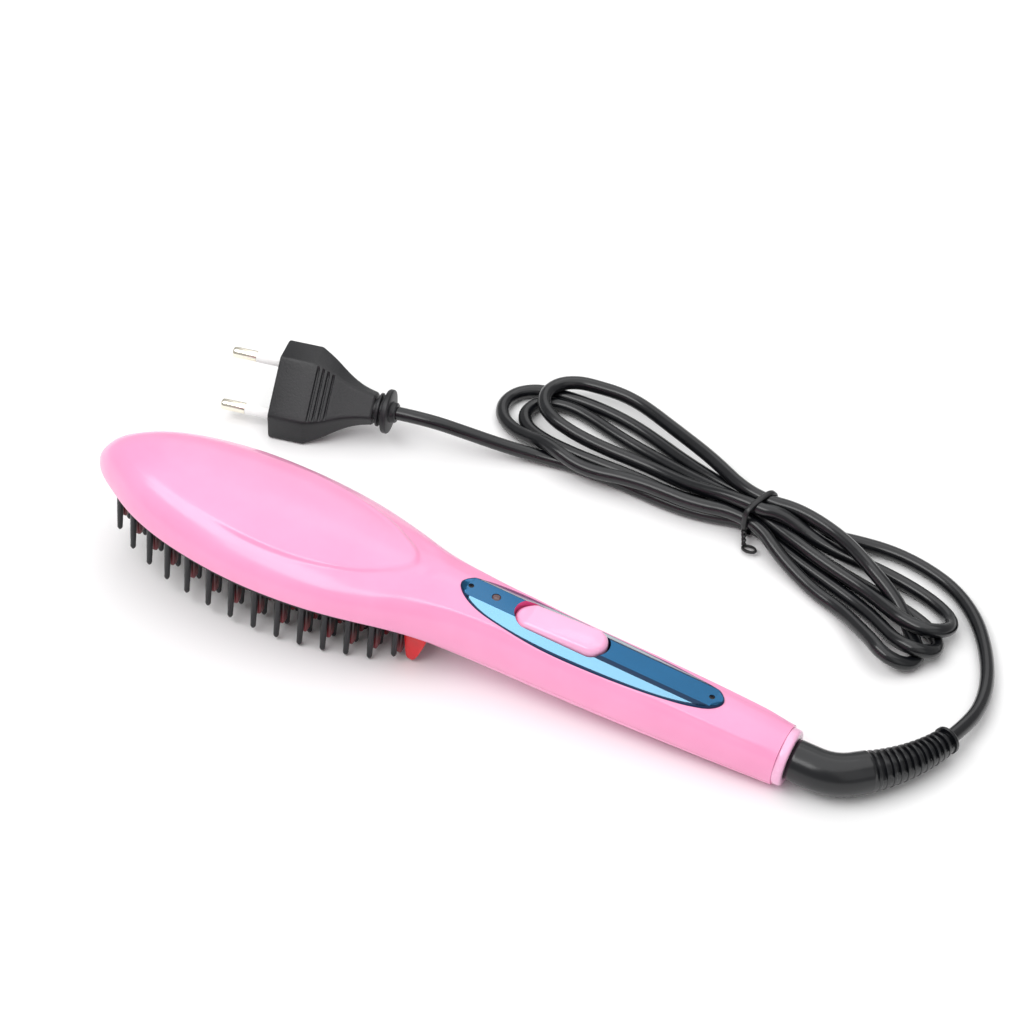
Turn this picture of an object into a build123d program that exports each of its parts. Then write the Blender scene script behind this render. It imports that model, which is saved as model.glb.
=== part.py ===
from build123d import *
import os
import math

os.makedirs("parts", exist_ok=True)

# ----------------------------------------------------------------------------
# Driving dimensions, millimetres.
# Comb frame used while the pieces are made: x along the body from the tip of
# the head (0) to the tail (LENGTH), +z out of the smooth back, -z towards the
# bristles, y across.  The finished pieces are then laid down in their resting
# attitude, on the bristle tips and the tail.
# ----------------------------------------------------------------------------
LENGTH = 250.0          # head tip to tail end of the housing
WALL = 2.2              # shell wall
TOP_WALL = 4.5          # thicker back under the display lens
SECTION_FULLNESS = 0.64  # handle length of the section curves, 0.552 is an ellipse

# stations along the body: x, half width, height of back, depth of front
STATIONS = [
    (0.0, 1.3, 1.6, 0.8),
    (1.2, 3.7, 4.4, 1.6),
    (3.0, 5.9, 7.0, 2.1),
    (6.0, 8.5, 9.8, 2.5),
    (10.0, 11.2, 12.0, 2.8),
    (20.0, 17.2, 14.9, 3.0),
    (35.0, 22.7, 16.0, 3.0),
    (50.0, 25.5, 16.4, 3.0),
    (65.0, 26.7, 16.4, 3.0),
    (80.0, 26.2, 16.1, 3.0),
    (95.0, 24.2, 15.5, 3.2),
    (110.0, 20.4, 14.6, 4.2),
    (122.0, 16.7, 13.9, 6.6),
    (135.0, 13.5, 13.7, 9.6),
    (155.0, 11.9, 13.2, 11.2),
    (180.0, 11.5, 12.3, 11.3),
    (207.0, 10.9, 11.5, 10.7),
    (231.0, 10.2, 10.5, 9.8),
    (247.0, 9.4, 9.5, 9.3),
]
COLLAR_LENGTH = LENGTH - 247.0
COLLAR_RADIUS = 9.3
COLLAR_CHAMFER = 0.9
PARTING_GAP = 0.15

# bristle bed
BED = [(4.6, 0), (6.4, 5.2), (10.6, 9.2), (19.1, 14.2), (27.5, 17.6), (35.9, 20.0),
       (44.6, 21.8), (53.4, 23.0), (62.2, 23.6), (70.9, 23.7), (79.3, 23.2),
       (87.4, 22.2), (95.2, 20.8), (102.8, 18.9), (110.3, 16.9), (117.8, 14.8),
       (123.8, 12.6), (128.8, 9.4), (131.8, 5.0), (132.8, 0)]
ROWS = [(10.6, 5.8), (19.1, 11.2), (27.5, 14.6), (35.9, 17.2), (44.6, 19.0),
        (53.4, 20.2), (62.2, 20.9), (70.9, 21.0), (79.3, 20.6), (87.4, 19.7),
        (95.2, 18.4), (102.8, 16.6), (110.3, 14.5), (117.8, 12.2)]
BRISTLE_ROOT_R = 1.05
BRISTLE_TIP_R = 0.8
BRISTLE_TIP_Z = -24.0   # level of the tips in the front two thirds
TIP_RISE_FROM = 85.0    # from here the tips rise along the resting plane
TOOTH_TIP_Z = -19.5
TOOTH_T = 3.0              # thickness of a tooth along the body
END_TOOTH = (123.4, 9.0)   # longer tooth at the neck end, one each side
POSTS = ((23.3, 0.0), (57.8, 12.0), (57.8, -12.0), (99.0, 0.0))
CARRIER_Z = (-4.4, -2.6)
PLATE_Z = (-2.6, -0.8)

# display lens and rocker
LENS = [(133.2, 0.0), (135.6, 3.6), (140.0, 6.0), (150.0, 8.0), (164.0, 8.9),
        (181.0, 8.8), (197.5, 8.1), (210.0, 6.9), (218.5, 5.2), (223.4, 2.9), (225.0, 0.0)]
LENS_TOP_AT = (145.0, 13.75)   # x and z of the flat facet
LENS_FALL = 0.0300             # fall of the facet per mm towards the tail
LENS_FACET = 3.9               # half width of the flat facet
LENS_BEVEL = 0.72              # fall of the side facets per mm of width
LENS_T = 2.0
ROCKER_X = 169.0
ROCKER_LENGTH, ROCKER_WIDTH = 31.4, 10.6
ROCKER_OPEN_LENGTH, ROCKER_OPEN_WIDTH = 32.8, 11.4
ROCKER_TILT = 3.6              # each way from level
ROCKER_PIN_R, ROCKER_PIN_Z = 1.0, 7.55

# cord
CORD_D = 4.8
CORD_R = CORD_D / 2

# plug, flat two pin form 35.3 x 13.7 with 4 mm pins 19 mm long
PLUG_W, PLUG_T = 35.3, 13.7
PIN_D, PIN_LENGTH, PIN_SPACING = 4.0, 19.0, 18.6
SLEEVE_LENGTH, PIN_CORE_R = 10.0, 1.4

# resting attitude: pitch of the body, tail down
PITCH = math.degrees(math.atan((-BRISTLE_TIP_Z - COLLAR_RADIUS) / (LENGTH - COLLAR_CHAMFER - TIP_RISE_FROM)))
FLOOR_SLOPE = math.tan(math.radians(PITCH))


def floor_line(x):
    """Height, in the comb frame, of the surface the comb rests on."""
    return BRISTLE_TIP_Z + (x - TIP_RISE_FROM) * FLOOR_SLOPE


def lens_top(x):
    return LENS_TOP_AT[1] - (x - LENS_TOP_AT[0]) * LENS_FALL


def interpolate(x, column):
    """Smooth value of one station column at x."""
    s = STATIONS
    if x <= s[0][0]:
        return s[0][column]
    for a, b in zip(s, s[1:]):
        if x <= b[0]:
            t = (x - a[0]) / (b[0] - a[0])
            return a[column] + (b[column] - a[column]) * t
    return s[-1][column]


def body_section(w, h, b):
    """Closed body section of four curves: half width w, height h up, b down."""
    k = SECTION_FULLNESS
    Bezier((w, 0), (w, k * h), (k * w, h), (0, h))
    Bezier((0, h), (-k * w, h), (-w, k * h), (-w, 0))
    Bezier((-w, 0), (-w, -k * b), (-k * w, -b), (0, -b))
    Bezier((0, -b), (k * w, -b), (w, -k * b), (w, 0))


def closed_outline(half):
    """Full closed outline from one side given as (x, y) with y >= 0."""
    return half + [(x, -y) for x, y in reversed(half[1:-1])]


# ----------------------------------------------------------------------------
# Body envelopes
# ----------------------------------------------------------------------------
with BuildPart() as outer_form:
    for x, w, h, b in STATIONS:
        with BuildSketch(Plane.YZ.offset(x)):
            with BuildLine():
                body_section(w, h, b)
            make_face()
    loft()

INNER = []
for x, w, h, b in STATIONS[3:]:
    top = TOP_WALL if 130.0 < x < 215.0 else (3.4 if 118 < x < 130 else WALL)
    INNER.append((x, w - WALL, h - top, max(b - WALL, 0.7)))
INNER[0] = (8.2, 6.6, 7.0, 0.7)
INNER[-1] = (243.5, 7.4, 7.3, 7.4)
with BuildPart() as inner_form:
    for x, w, h, b in INNER:
        with BuildSketch(Plane.YZ.offset(x)):
            with BuildLine():
                body_section(w, h, b)
            make_face()
    loft()

# the lens outline and its roof, three flat facets along the back
with BuildSketch() as lens_sketch:
    with BuildLine():
        Spline(*closed_outline(LENS), periodic=True)
    make_face()


def roof_section(x, drop, rise=12.0):
    """Region above the faceted surface, sunk by drop."""
    z = lens_top(x) - drop
    edge = 6.5
    return [(-LENS_FACET - edge, z - edge * LENS_BEVEL), (-LENS_FACET, z), (LENS_FACET, z),
            (LENS_FACET + edge, z - edge * LENS_BEVEL),
            (LENS_FACET + edge, z + rise), (-LENS_FACET - edge, z + rise)]


with BuildPart() as above_lens:
    for x in (128.0, 230.0):
        with BuildSketch(Plane.YZ.offset(x)):
            with BuildLine():
                Polyline(*roof_section(x, 0.0), close=True)
            make_face()
    loft(ruled=True)

with BuildPart() as above_pocket:
    for x in (128.0, 230.0):
        with BuildSketch(Plane.YZ.offset(x)):
            with BuildLine():
                Polyline(*roof_section(x, LENS_T + 0.05), close=True)
            make_face()
    loft(ruled=True)

with BuildPart() as above_lens_floor:
    for x in (128.0, 230.0):
        with BuildSketch(Plane.YZ.offset(x)):
            with BuildLine():
                Polyline(*roof_section(x, LENS_T), close=True)
            make_face()
    loft(ruled=True)

# half spaces above and below the parting line of the two shells
PARTING = [(-5.0, -1.0), (108.0, -1.0), (126.0, -3.4), (140.0, -4.6), (256.0, -4.6)]
with BuildPart() as upper_half:
    with BuildSketch(Plane.XZ.offset(-40)):
        with BuildLine():
            Polyline(*PARTING, (256.0, 40.0), (-5.0, 40.0), close=True)
        make_face()
    extrude(amount=80)

with BuildPart() as lower_half:
    with BuildSketch(Plane.XZ.offset(-40)):
        with BuildLine():
            Polyline(*[(x, z - PARTING_GAP) for x, z in PARTING], (256.0, -40.0), (-5.0, -40.0), close=True)
        make_face()
    extrude(amount=80)

# bed outline, and the same outline moved in
with BuildSketch() as bed_sketch:
    with BuildLine():
        Spline(*closed_outline(BED), periodic=True)
    make_face()


def bed_inset(d):
    """Bed outline drawn in by d."""
    n = len(BED)
    half = []
    for i, (x, y) in enumerate(BED):
        if i == 0:
            half.append((x + d, 0))
        elif i == n - 1:
            half.append((x - d, 0))
        else:
            (xa, ya), (xb, yb) = BED[i - 1], BED[i + 1]
            tx, ty = xb - xa, yb - ya
            m = math.hypot(tx, ty)
            half.append((x + d * ty / m, y - d * tx / m))
    return closed_outline(half)


with BuildPart() as lens_pocket:
    with BuildSketch(Plane.XY.offset(2.0)):
        with BuildLine():
            Spline(*closed_outline([(LENS[0][0] - 0.15, 0)] + [(x, y + 0.15) for x, y in LENS[1:-1]]
                                   + [(LENS[-1][0] + 0.15, 0)]), periodic=True)
        make_face()
    extrude(amount=14)
    add(above_pocket.part, mode=Mode.INTERSECT)

with BuildPart() as bed_opening:
    with BuildSketch(Plane.XY.offset(-14.0)):
        with BuildLine():
            Spline(*bed_inset(-0.3), periodic=True)
        make_face()
    extrude(amount=14.0)

# cavity and bore of the swivel in the tail
with BuildPart() as swivel_cavity:
    with BuildSketch(Plane.YZ.offset(240.5)):
        Circle(7.1)
    extrude(amount=5.0)
    with BuildSketch(Plane.YZ.offset(240.5)):
        Circle(6.56)
    extrude(amount=8.0)

# ----------------------------------------------------------------------------
# Housing
# ----------------------------------------------------------------------------
with BuildPart() as back_shell:
    add(outer_form.part)
    add(inner_form.part, mode=Mode.SUBTRACT)
    add(upper_half.part, mode=Mode.INTERSECT)
    add(lens_pocket.part, mode=Mode.SUBTRACT)
    # openings through the pocket floor: rocker, display, indicator
    with BuildSketch(Plane.XY.offset(4.0)):
        with Locations((ROCKER_X, 0)):
            SlotOverall(ROCKER_OPEN_LENGTH, ROCKER_OPEN_WIDTH)
        with Locations((204.0, 0)):
            Rectangle(26.0, 7.0)
        with Locations((145.6, 0)):
            Circle(1.65)
        with Locations((136.6, 0), (221.0, 0)):
            Circle(0.9)
    extrude(amount=12, mode=Mode.SUBTRACT)
    add(bed_opening.part, mode=Mode.SUBTRACT)
    add(swivel_cavity.part, mode=Mode.SUBTRACT)
    # holes for the rocker pin through the pocket floor
    with BuildSketch(Plane.XZ.offset(-7.4)):
        with Locations((ROCKER_X, ROCKER_PIN_Z)):
            Circle(ROCKER_PIN_R + 0.02)
    extrude(amount=14.8, mode=Mode.SUBTRACT)
    # screw posts over the heating plate
    with BuildSketch(Plane.XY.offset(PLATE_Z[1])):
        with Locations(*POSTS):
            Circle(2.6)
    extrude(amount=14.6)
    with BuildSketch(Plane.XY.offset(PLATE_Z[1])):
        with Locations(*POSTS):
            Circle(1.0)
    extrude(amount=9.5, mode=Mode.SUBTRACT)

with BuildPart() as front_shell:
    add(outer_form.part)
    add(inner_form.part, mode=Mode.SUBTRACT)
    add(lower_half.part, mode=Mode.INTERSECT)
    add(bed_opening.part, mode=Mode.SUBTRACT)
    add(swivel_cavity.part, mode=Mode.SUBTRACT)
    # two countersunk screw holes in the handle
    for x in (150.0, 222.0):
        with Locations((x, 0, -14.0)):
            Cylinder(1.45, 12.0, align=(Align.CENTER, Align.CENTER, Align.MIN), mode=Mode.SUBTRACT)
        with Locations((x, 0, -14.0)):
            Cylinder(2.5, 14.0 - interpolate(x, 3) + 1.3, align=(Align.CENTER, Align.CENTER, Align.MIN), mode=Mode.SUBTRACT)

# pale ring closing the tail, bored for the swivel
with BuildPart() as tail_collar:
    with BuildSketch(Plane.YZ.offset(247.0 + 0.05)):
        Circle(COLLAR_RADIUS)
    extrude(amount=COLLAR_LENGTH - 0.05)
    chamfer(tail_collar.faces().sort_by(Axis.X)[-1].edges(), COLLAR_CHAMFER)
    with BuildSketch(Plane.YZ.offset(246.0)):
        Circle(6.56)
    extrude(amount=6, mode=Mode.SUBTRACT)

# ----------------------------------------------------------------------------
# Control panel
# ----------------------------------------------------------------------------
with BuildPart() as display_lens:
    with BuildSketch(Plane.XY.offset(3.0)):
        with BuildLine():
            Spline(*closed_outline(LENS), periodic=True)
        make_face()
    extrude(amount=12)
    add(above_lens.part, mode=Mode.SUBTRACT)
    add(above_lens_floor.part, mode=Mode.INTERSECT)
    with BuildSketch(Plane.XY.offset(2.0)):
        with Locations((ROCKER_X, 0)):
            SlotOverall(ROCKER_OPEN_LENGTH, ROCKER_OPEN_WIDTH)
        with Locations((136.6, 0), (221.0, 0)):
            Circle(0.95)
    extrude(amount=14, mode=Mode.SUBTRACT)

ROCKER_LEVEL = math.degrees(math.atan(LENS_FALL))
ROCKER_FRAME = Plane(origin=(ROCKER_X, 0, ROCKER_PIN_Z), z_dir=(LENS_FALL, 0, 1)).rotated((0, -ROCKER_TILT, 0))
ROCKER_TOP = lens_top(ROCKER_X) + 1.0 - ROCKER_PIN_Z
with BuildPart() as power_rocker:
    with BuildSketch(ROCKER_FRAME.offset(-1.9)):
        SlotOverall(ROCKER_LENGTH, ROCKER_WIDTH)
    extrude(amount=ROCKER_TOP + 1.9)
    fillet(power_rocker.faces().sort_by(Axis.Z)[-1].edges(), 1.1)
    with BuildSketch(Plane.XZ.offset(-10)):
        with Locations((ROCKER_X, ROCKER_PIN_Z)):
            Circle(ROCKER_PIN_R + 0.06)
    extrude(amount=20, mode=Mode.SUBTRACT)

with BuildPart() as rocker_pin:
    with BuildSketch(Plane.XZ.offset(-7.1)):
        with Locations((ROCKER_X, ROCKER_PIN_Z)):
            Circle(ROCKER_PIN_R)
    extrude(amount=14.2)

with BuildPart() as lens_screws:
    for x in (136.6, 221.0):
        with Locations((x, 0, lens_top(x) - 3.6)):
            Cylinder(0.88, 3.3, align=(Align.CENTER, Align.CENTER, Align.MIN))

with BuildPart() as led_indicator:
    with Locations((145.6, 0, 8.0)):
        Cylinder(1.5, 1.9, align=(Align.CENTER, Align.CENTER, Align.MIN))
    with Locations((145.6, 0, 9.9)):
        Sphere(1.45, arc_size1=0)
    for dy in (-0.9, 0.9):
        with Locations((145.6, dy, 1.2)):
            Cylinder(0.25, 6.9, align=(Align.CENTER, Align.CENTER, Align.MIN))

with BuildPart() as control_pcb:
    with Locations((182.0, 0, -0.4)):
        Box(84.0, 14.6, 1.6, align=(Align.CENTER, Align.CENTER, Align.MIN))

with BuildPart() as display_module:
    with Locations((204.0, 0, 1.4)):
        Box(29.0, 10.4, 3.6, align=(Align.CENTER, Align.CENTER, Align.MIN))
    with Locations((204.0, 0, 5.0)):
        Box(24.0, 6.0, 1.2, align=(Align.CENTER, Align.CENTER, Align.MIN))

with BuildPart() as rocker_switch:
    with Locations((ROCKER_X, 0, 1.2)):
        Box(20.0, 8.6, 3.0, align=(Align.CENTER, Align.CENTER, Align.MIN))
    fillet(rocker_switch.edges().filter_by(Axis.Z), 0.6)
    with Locations((ROCKER_X, 0, 4.2)):
        Box(4.0, 4.0, 1.0, align=(Align.CENTER, Align.CENTER, Align.MIN))

with BuildPart() as mains_capacitor:
    with Locations((196.0, 0, -0.4)):
        Box(13.0, 9.0, 6.0, align=(Align.CENTER, Align.CENTER, Align.MAX))
    fillet(mains_capacitor.edges().filter_by(Axis.Z), 0.8)

with BuildPart() as triac:
    with Locations((176.0, 0, -0.4)):
        Box(10.0, 8.0, 3.6, align=(Align.CENTER, Align.CENTER, Align.MAX))

with BuildPart() as pcb_fuse:
    with BuildSketch(Plane.YZ.offset(205.0)):
        with Locations((0, -3.2)):
            Circle(2.5)
    extrude(amount=12.0)

# ----------------------------------------------------------------------------
# Heating head
# ----------------------------------------------------------------------------


def bristle_positions():
    rows = []
    for x, ye in ROWS:
        n = max(2, int(round(2 * ye / 7.0)))
        rows.append((x, [-ye + 2 * ye * i / n for i in range(n + 1)]))
    return rows


def bristle_tip(x):
    z = BRISTLE_TIP_Z if x <= TIP_RISE_FROM else floor_line(x)
    if x > 115.0:
        z += 2.4
    return z


TEETH = []   # x, y and half width of each tooth
for x, ys in bristle_positions():
    for a, b in zip(ys, ys[1:]):
        TEETH.append((x, (a + b) / 2, min(2.0, (b - a) / 2 - 1.25)))

with BuildPart() as heat_plate:
    with BuildSketch(Plane.XY.offset(PLATE_Z[0])):
        with BuildLine():
            Spline(*bed_inset(1.0), periodic=True)
        make_face()
    extrude(amount=PLATE_Z[1] - PLATE_Z[0])
    with BuildSketch(Plane.XY.offset(PLATE_Z[0] - 1)):
        with Locations(*POSTS):
            Circle(1.3)
    extrude(amount=6, mode=Mode.SUBTRACT)

with BuildPart() as bristle_carrier:
    with BuildSketch(Plane.XY.offset(CARRIER_Z[0])):
        with BuildLine():
            Spline(*bed_inset(0.0), periodic=True)
        make_face()
    extrude(amount=CARRIER_Z[1] - CARRIER_Z[0])
    with BuildSketch(Plane.XY.offset(CARRIER_Z[0] - 1)):
        for x, y, half in TEETH:
            with Locations((x, y)):
                Rectangle(TOOTH_T + 0.3, 2 * half + 0.3)
        for x, ys in bristle_positions():
            with Locations(*[(x, y) for y in ys]):
                Circle(0.72)
        with Locations(*POSTS):
            Circle(1.3)
        with Locations((END_TOOTH[0], -END_TOOTH[1]), END_TOOTH):
            Rectangle(8.2, 2.2)
    extrude(amount=6, mode=Mode.SUBTRACT)

# ceramic coated heating teeth, staked on the plate, reaching through the carrier
def tooth(half):
    """One tooth of the given half width, standing at the origin."""
    with BuildPart() as made:
        with BuildSketch(Plane.YZ.offset(-TOOTH_T / 2)):
            with BuildLine():
                Polyline((-half, PLATE_Z[0]), (half, PLATE_Z[0]), (half - 0.5, TOOTH_TIP_Z + 0.9),
                         (half - 1.1, TOOTH_TIP_Z), (1.1 - half, TOOTH_TIP_Z), (0.5 - half, TOOTH_TIP_Z + 0.9), close=True)
            make_face()
        extrude(amount=TOOTH_T)
    return made.part


TOOTH_FORMS = {half: tooth(half) for half in {t[2] for t in TEETH}}

with BuildPart() as end_tooth:
    with BuildSketch(Plane.XZ.offset(-0.9)):
        with BuildLine():
            Polyline((-3.9, PLATE_Z[0]), (3.9, PLATE_Z[0]), (3.9, -10.0), (0.9, -18.6),
                     (-0.2, -19.9), (-1.6, -19.9), (-2.6, -18.6), (-3.9, -10.0), close=True)
        make_face()
    extrude(amount=1.8)

with BuildPart() as heated_teeth:
    for x, y, half in TEETH:
        add(TOOTH_FORMS[half].moved(Location((x, y, 0))))
    for y in (-END_TOOTH[1], END_TOOTH[1]):
        add(end_tooth.part.moved(Location((END_TOOTH[0], y, 0))))

# long cool-tip bristles, each with a spigot in the carrier
with BuildPart() as bristles:
    for x, ys in bristle_positions():
        tip = bristle_tip(x)
        with BuildSketch(Plane.XZ) as profile:
            with BuildLine():
                Polyline((0, CARRIER_Z[1] - 0.2), (0.68, CARRIER_Z[1] - 0.2), (0.68, CARRIER_Z[0]),
                         (BRISTLE_ROOT_R, CARRIER_Z[0]), (BRISTLE_TIP_R, tip + 1.3),
                         (BRISTLE_TIP_R * 0.82, tip + 0.55), (BRISTLE_TIP_R * 0.4, tip + 0.1),
                         (0, tip), close=True)
            make_face()
        single = revolve(profile.sketch, axis=Axis.Z, mode=Mode.PRIVATE)
        for y in ys:
            add(single.moved(Location((x, y, 0))))

with BuildPart() as heater_elements:
    for y in (-5.2, 5.2):
        with Locations((63.0, y, PLATE_Z[1])):
            Box(58.0, 7.0, 1.3, align=(Align.CENTER, Align.CENTER, Align.MIN))

with BuildPart() as insulation_sheet:
    with Locations((62.5, 0, PLATE_Z[1] + 1.3)):
        Box(58.0, 18.2, 0.5, align=(Align.CENTER, Align.CENTER, Align.MIN))

with BuildPart() as heater_clamp:
    with Locations((62.5, 0, PLATE_Z[1] + 1.8)):
        Box(50.0, 9.0, 1.0, align=(Align.CENTER, Align.CENTER, Align.MIN))
    with Locations((57.8, 0, PLATE_Z[1] + 1.8)):
        Box(7.0, 31.0, 1.0, align=(Align.CENTER, Align.CENTER, Align.MIN))
    with BuildSketch(Plane.XY.offset(PLATE_Z[1])):
        with Locations((57.8, 12.0), (57.8, -12.0)):
            Circle(2.75)
    extrude(amount=6, mode=Mode.SUBTRACT)

with BuildPart() as thermal_fuse:
    with BuildSketch(Plane.YZ.offset(38.0)):
        with Locations((0, PLATE_Z[1] + 4.1)):
            Circle(1.3)
    extrude(amount=11.0)

with BuildPart() as thermistor:
    with Locations((107.0, 4.0, PLATE_Z[1] + 0.9)):
        Sphere(0.9)

with BuildPart() as plate_screws:
    for x, y in POSTS:
        with Locations((x, y, CARRIER_Z[0] - 1.1)):
            Cylinder(2.1, 1.1, align=(Align.CENTER, Align.CENTER, Align.MIN))
        with Locations((x, y, CARRIER_Z[0])):
            Cylinder(0.98, 10.0, align=(Align.CENTER, Align.CENTER, Align.MIN))

with BuildPart() as handle_screws:
    for x in (150.0, 222.0):
        low = -interpolate(x, 3) + 0.35
        with Locations((x, 0, low)):
            Cylinder(2.3, 0.95, align=(Align.CENTER, Align.CENTER, Align.MIN))
        with Locations((x, 0, low + 0.95)):
            Cylinder(1.25, 5.0, align=(Align.CENTER, Align.CENTER, Align.MIN))

# internal leads, heater to circuit board and circuit board to swivel contacts
with BuildPart() as heater_leads:
    for s in (-1, 1):
        with BuildLine() as lead_path:
            FilletPolyline((92.1, s * 5.2, 0.0), (99.0, s * 6.0, 1.6), (110.0, s * 6.2, 4.0), (124.0, s * 4.4, 4.6),
                           (134.0, s * 4.0, 3.0), (139.8, s * 4.0, 0.4), radius=4.0)
        with BuildSketch(Plane(origin=lead_path.line @ 0, z_dir=lead_path.line % 0)):
            Circle(0.6)
        sweep(path=lead_path.line)

# ----------------------------------------------------------------------------
# Cord swivel
# ----------------------------------------------------------------------------
with BuildPart() as swivel_rotor:
    with BuildSketch(Plane.XZ) as rotor_profile:
        with BuildLine():
            Polyline((227.0, 0), (227.0, 3.2), (242.0, 3.2), (242.0, 6.9), (245.2, 6.9), (245.2, 6.5),
                     (250.2, 6.5), (250.2, 0), close=True)
        make_face()
    revolve(axis=Axis.X)

with BuildPart() as slip_rings:
    for x in (230.0, 235.5):
        with BuildSketch(Plane.YZ.offset(x)):
            Circle(4.3)
            Circle(3.2, mode=Mode.SUBTRACT)
        extrude(amount=2.8)

with BuildPart() as swivel_contacts:
    for x in (230.4, 235.9):
        with Locations((x + 1.0, 2.0, 4.45)):
            Box(2.0, 7.2, 0.4, align=(Align.CENTER, Align.CENTER, Align.MIN))
        with Locations((x + 1.0, 5.2, 1.0)):
            Box(2.0, 0.8, 3.6, align=(Align.CENTER, Align.CENTER, Align.MIN))

# ----------------------------------------------------------------------------
# Laying the comb down
# ----------------------------------------------------------------------------
ROTATE = Location((0, 0, 0), (0, PITCH, 0))
body_box = Compound(children=[back_shell.part.moved(ROTATE), swivel_rotor.part.moved(ROTATE)]).bounding_box()
CENTRE_X = (body_box.min.X + body_box.max.X) / 2
# lowest corner of the tail ring, level with the bristle tips
REST_Z = (-(LENGTH - COLLAR_CHAMFER) * math.sin(math.radians(PITCH))
          - COLLAR_RADIUS * math.cos(math.radians(PITCH)))
POSE = Location((-CENTRE_X, 0, -REST_Z), (0, PITCH, 0))


def laid(x, y, z):
    """A point of the comb frame where it is once the comb is laid down."""
    c, s = math.cos(math.radians(PITCH)), math.sin(math.radians(PITCH))
    return (x * c + z * s - CENTRE_X, y, -x * s + z * c - REST_Z)


TAIL = laid(250.2, 0, 0)
TAIL_DIR = Vector(math.cos(math.radians(PITCH)), 0, -math.sin(math.radians(PITCH)))
# plan coordinates below are given from the middle of the body
SHIFT_X = 125.0 * math.cos(math.radians(PITCH)) - CENTRE_X


def at(x, y, z):
    return (x + SHIFT_X, y, z)


# moulded elbow and ribbed strain relief; the boot curves gently along an arc
BOOT_HEADINGS = (42.0, 72.0)     # plan heading at the boot's start and end
BOOT_LENGTH = 31.2
BOOT_FALL = -0.038
BOOT_BEND = BOOT_LENGTH / math.radians(BOOT_HEADINGS[1] - BOOT_HEADINGS[0])
CORNER = Vector(*TAIL) + TAIL_DIR * 13.9
START_DIR = Vector(math.cos(math.radians(BOOT_HEADINGS[0])), math.sin(math.radians(BOOT_HEADINGS[0])), BOOT_FALL).normalized()
BOOT_START = CORNER + START_DIR * 11.2


def boot(d):
    """Point and direction on the boot's centre line, d from its start."""
    h0 = math.radians(BOOT_HEADINGS[0])
    h = h0 + d / BOOT_BEND
    point = BOOT_START + Vector(BOOT_BEND * (math.sin(h) - math.sin(h0)),
                                BOOT_BEND * (math.cos(h0) - math.cos(h)), BOOT_FALL * d)
    return point, Vector(math.cos(h), math.sin(h), BOOT_FALL).normalized()


BOOT_END, OUT_DIR = boot(BOOT_LENGTH)

with BuildPart() as strain_relief:
    with BuildLine() as elbow_path:
        FilletPolyline(Vector(*TAIL), CORNER, BOOT_START, radius=18.0)
    with BuildSketch(Plane(origin=Vector(*TAIL), z_dir=TAIL_DIR)):
        Circle(6.85)
    sweep(path=elbow_path.line)
    # smooth tapering core
    for d, radius_ in ((0.0, 6.85), (3.0, 5.9), (10.0, 4.9), (20.0, 4.0), (BOOT_LENGTH, 3.4)):
        point, heading = boot(d)
        with BuildSketch(Plane(origin=point, z_dir=heading)):
            Circle(radius_)
    loft()
    # ribs
    for i in range(12):
        d = 1.3 + i * 2.3
        point, heading = boot(d)
        with BuildSketch(Plane(origin=point, z_dir=heading)):
            Circle(6.6 - 0.075 * d)
        extrude(amount=1.1)
    point, heading = boot(BOOT_LENGTH - 1.4)
    with BuildSketch(Plane(origin=point, z_dir=heading)):
        Circle(4.7)
    extrude(amount=1.4)

# ----------------------------------------------------------------------------
# Cord
# ----------------------------------------------------------------------------


def route_radii(points, share=0.45):
    radii = []
    for a, b, c in zip(points, points[1:], points[2:]):
        u = Vector(*b) - Vector(*a)
        v = Vector(*c) - Vector(*b)
        turn = u.get_angle(v)
        radii.append(share * min(u.length, v.length) / math.tan(math.radians(turn / 2)))
    return radii


TAIL_ROUTE = [tuple(BOOT_END), tuple(BOOT_END + OUT_DIR * 9.6), at(167.2, 54.5, 4.2), at(164.6, 67.4, 3.1),
              at(159.0, 80.4, 2.5), at(151.2, 92.4, 2.42), at(140.6, 101.6, 2.42), at(128.2, 106.8, 2.42),
              at(115.5, 108.9, 2.6), at(103.8, 107.4, 3.2), at(94.0, 105.0, 4.0)]
PLUG_ANGLE = math.radians(189.97)
PLUG_DIR = Vector(math.cos(PLUG_ANGLE), math.sin(PLUG_ANGLE), 0)
PLUG_Z = PLUG_W / 2 * math.sqrt(0.5)
PLUG_EXIT = Vector(*at(-59.55, 83.98, PLUG_Z))
LEAD_ROUTE = [tuple(PLUG_EXIT), tuple(PLUG_EXIT - PLUG_DIR * 11.0), at(-36.3, 89.6, 9.0), at(-23.2, 93.6, 5.0),
              at(-9.6, 97.0, 2.7), at(2.0, 98.5, 2.42)]


def report_route(name, points):
    radii = route_radii(points)
    runs = [(Vector(*b) - Vector(*a)).length for a, b in zip(points, points[1:])]
    turns = [(Vector(*b) - Vector(*a)).get_angle(Vector(*c) - Vector(*b)) for a, b, c in zip(points, points[1:], points[2:])]
    print(name, "runs", [round(r, 1) for r in runs], "turns", [round(t, 1) for t in turns],
          "radii", [round(r, 1) for r in radii])
    return radii


tail_radii = report_route("cord_tail", TAIL_ROUTE)
with BuildPart() as cord_tail:
    with BuildLine() as tail_path:
        FilletPolyline(*TAIL_ROUTE, radius=tail_radii)
    with BuildSketch(Plane(origin=tail_path.line @ 0, z_dir=tail_path.line % 0)):
        Circle(CORD_R)
    sweep(path=tail_path.line)
tail_length = sum(edge.length for edge in tail_path.edges())
print("cord_tail length", round(tail_length, 2), "volume ratio",
      round(cord_tail.part.volume / (math.pi * CORD_R ** 2 * tail_length), 4))

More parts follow.
